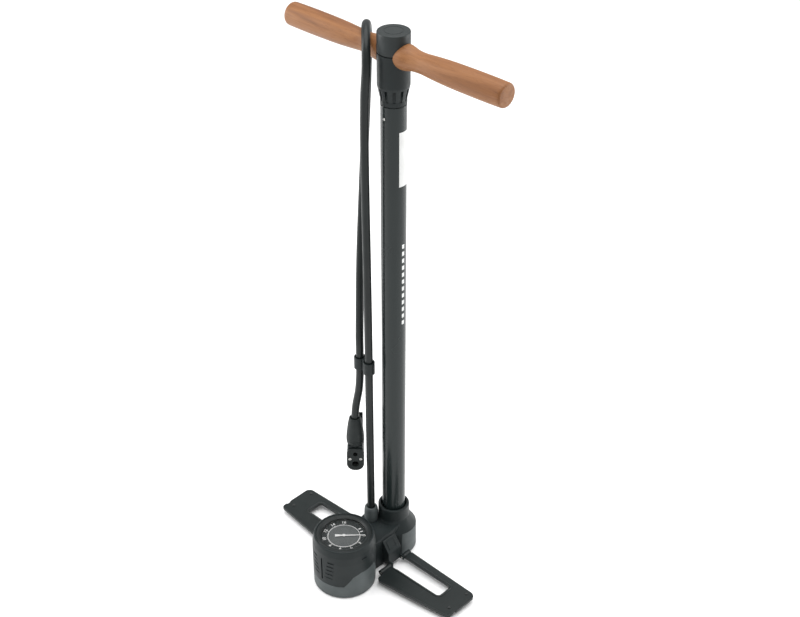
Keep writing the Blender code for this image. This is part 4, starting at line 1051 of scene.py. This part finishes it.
def make_port_face(looks):
    outline = rounded(((-0.0104, 0.1585, 0.006), (-0.0107, HEAD_BOTTOM, 0.0098),
                       (0.0107, HEAD_BOTTOM, 0.0098), (0.0104, 0.1585, 0.006)), 12)
    face = mesh_object("port_face", prism(outline, CHUCK_FACE, FACE_BACK, CHUCK @ FROM_SIDE, 0.0006))
    for radius, z in ((0.003, PRESTA_Z), (0.0043, SCHRADER_Z)):
        cut(face, disc(radius, -0.03, 0.0, ROUND, facing(0.0, z)))
    cut(face, *screw_holes(0.0))
    return keep(face, looks.dial, "plunger", "dial_black", "chuck_face")


def make_seals(looks):
    seals = []
    for name, inner, outer, z in (("presta_seal", 0.0026, 0.0034, PRESTA_Z),
                                  ("schrader_seal", 0.0039, 0.0049, SCHRADER_Z)):
        ring = tube(inner, outer, FACE_BACK + GAP, 0.003, ROUND, facing(0.0, z), 0.0002)
        seals.append(piece(name + "_rubber", ring, looks.rubber, "plunger", "sole_rubber", name))
    return seals


def make_screws(looks):
    """Two domed screws with a slot across the head."""
    screw = rounded(((0.0, CHUCK_FACE - 0.0011), (0.0014, CHUCK_FACE - 0.001, 0.0006),
                     (0.002, CHUCK_FACE - GAP), (0.0009, CHUCK_FACE - GAP), (0.0009, -0.004),
                     (0.0, -0.004)))
    screws = []
    for name, x in (("chuck_screw_left", -SCREW_X), ("chuck_screw_right", SCREW_X)):
        body = mesh_object(name + "_steel", lathe(screw, SMALL, facing(x, SCREW_Z)))
        cut(body, box(x - 0.0011, x + 0.0011, CHUCK_FACE - 0.002, CHUCK_FACE - 0.0007, SCREW_Z - 0.00025,
                      SCREW_Z + 0.00025, CHUCK))
        screws.append(keep(body, looks.steel, "plunger", "steel", name))
    return screws


def make_sleeve(looks):
    """Soft sleeve round the hose's end, with a groove and three chevrons."""
    outline = rounded(((0.0073, SLEEVE_BOTTOM), (0.0106, SLEEVE_BOTTOM, 0.001), (0.011, 0.1672, 0.0004),
                       (0.0106, 0.1676), (0.0106, 0.1684), (0.011, 0.169, 0.0004),
                       (0.0106, 0.176, 0.01), (0.0092, 0.188, 0.03), (0.0078, 0.1965, 0.006),
                       (0.007, 0.1995, 0.0008), (0.0052, 0.1995, 0.0004), (0.0052, 0.1833),
                       (0.0073, 0.1833)))
    sleeve = mesh_object("soft_sleeve", lathe(outline, FINE, CHUCK))
    for step in range(3):
        z = 0.17 + 0.003 * step
        for side in (-1, 1):
            chevron = CHUCK @ about_z(radians(200)) @ at(0.0112, 0.0, z)
            chevron = chevron @ Matrix.Rotation(side * radians(28), 4, "X")
            low, high = sorted((0.0, side * 0.0052))
            cut(sleeve, box(-0.0011, 0.002, low, high, -0.0004, 0.0004, chevron))
    return keep(sleeve, looks.sleeve, "plunger", "sleeve_rubber", "chuck_sleeve")


def make_lever(looks):
    """Thumb lever with grooves across its tip, and the pin that it turns on."""
    low = PIVOT.z - 0.0026
    outline = rounded(((LEVER_Y - 0.0026, low, 0.0024), (LEVER_Y + 0.0026, low, 0.0024),
                       (LEVER_Y + 0.004, 0.17, 0.01), (LEVER_Y + 0.0044, LEVER_TOP - 0.001, 0.001),
                       (LEVER_Y + 0.0016, LEVER_TOP, 0.001), (LEVER_Y + 0.0006, 0.17, 0.01)))
    lever = mesh_object("thumb_lever", prism(outline, 0.0002, 0.0092, CHUCK @ ACROSS, 0.0005))
    cut(lever, lever_hole())
    for step in range(4):
        z = 0.183 + 0.0026 * step
        cut(lever, box(0.0012, 0.0082, LEVER_Y + 0.0037, LEVER_Y + 0.008, z, z + 0.001, CHUCK))
    keep(lever, looks.shroud, "lever", "shroud_black", "chuck_lever")
    pin = disc(0.001, -0.0028, 0.0102, SMALL, LEVER_AXIS, 0.0002)
    return lever, piece("lever_pin_steel", pin, looks.steel, "plunger", "steel", "lever_pin")


def make_chuck(looks):
    """The head on the hose's far end, piece by piece."""
    return [make_head(looks), make_port_face(looks), *make_seals(looks), *make_screws(looks),
            make_sleeve(looks), *make_lever(looks)]


# ---- check valve's spring
def make_valve_spring(looks):
    """The check valve's coil spring, at one fixed length."""
    low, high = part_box("check_valve_spring")
    wire, turns, steps = 0.0004, 5, 36
    flat, climbing = 0.14, 0.72         # shares of the wire: level at each end, and between them
    radius = high.y - wire
    climb = high.z - low.z - 2 * wire
    path = []
    for step in range(turns * steps + 1):
        angle = 2 * pi * step / steps
        share = min(max((step / (turns * steps) - flat) / climbing, 0.0), 1.0)
        path.append(Vector((radius * cos(angle), radius * sin(angle), low.z + wire + climb * share)))
    coil = piece("return_spring", sweep(path, wire, 10), looks.steel, "base", "steel", "check_valve_spring")
    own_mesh(coil)


# ---- pieces that keep their CAD shape
def dress_inner_parts(looks):
    """Detailed materials for the CAD nodes that stay."""
    kept = {
        "steel": ("base_screw_front_right", "base_screw_front_left", "base_screw_rear_right",
                  "base_screw_rear_left", "piston_washer", "piston_nut", "handle_bar",
                  "handle_screw", "gauge_case"),
        "brass": ("hose_insert", "gauge_socket", "bourdon_tube", "movement_plate", "needle_arbor",
                  "gauge_sector"),
        "natural": ("barrel_plug", "rod_guide", "piston"),
        "rubber": ("plug_seal", "check_valve", "piston_cup"),
        "felt": ("rod_wiper",),
    }
    for look, nodes in kept.items():
        for node in nodes:
            target = frame["nodes"][node]
            target.data.materials.clear()
            target.data.materials.append(getattr(looks, look))


make_camera()
make_studio()
make_floor()
looks = make_looks()
hose, hose_path = make_hose(looks)
clip = make_clip(looks)
chuck_pieces = make_chuck(looks)
make_base(looks)
make_boss(looks)
make_soles(looks)
make_barrel(looks)
make_rod(looks)
make_hub(looks)
make_cap(looks)
make_grip(looks, 1, "right_grip")
make_grip(looks, -1, "left_grip")
make_dial(looks)
make_needle(looks)
make_lens_and_bezel(looks)
make_foot(looks, 1, "right_foot")
make_foot(looks, -1, "left_foot")
make_valve_spring(looks)
dress_inner_parts(looks)
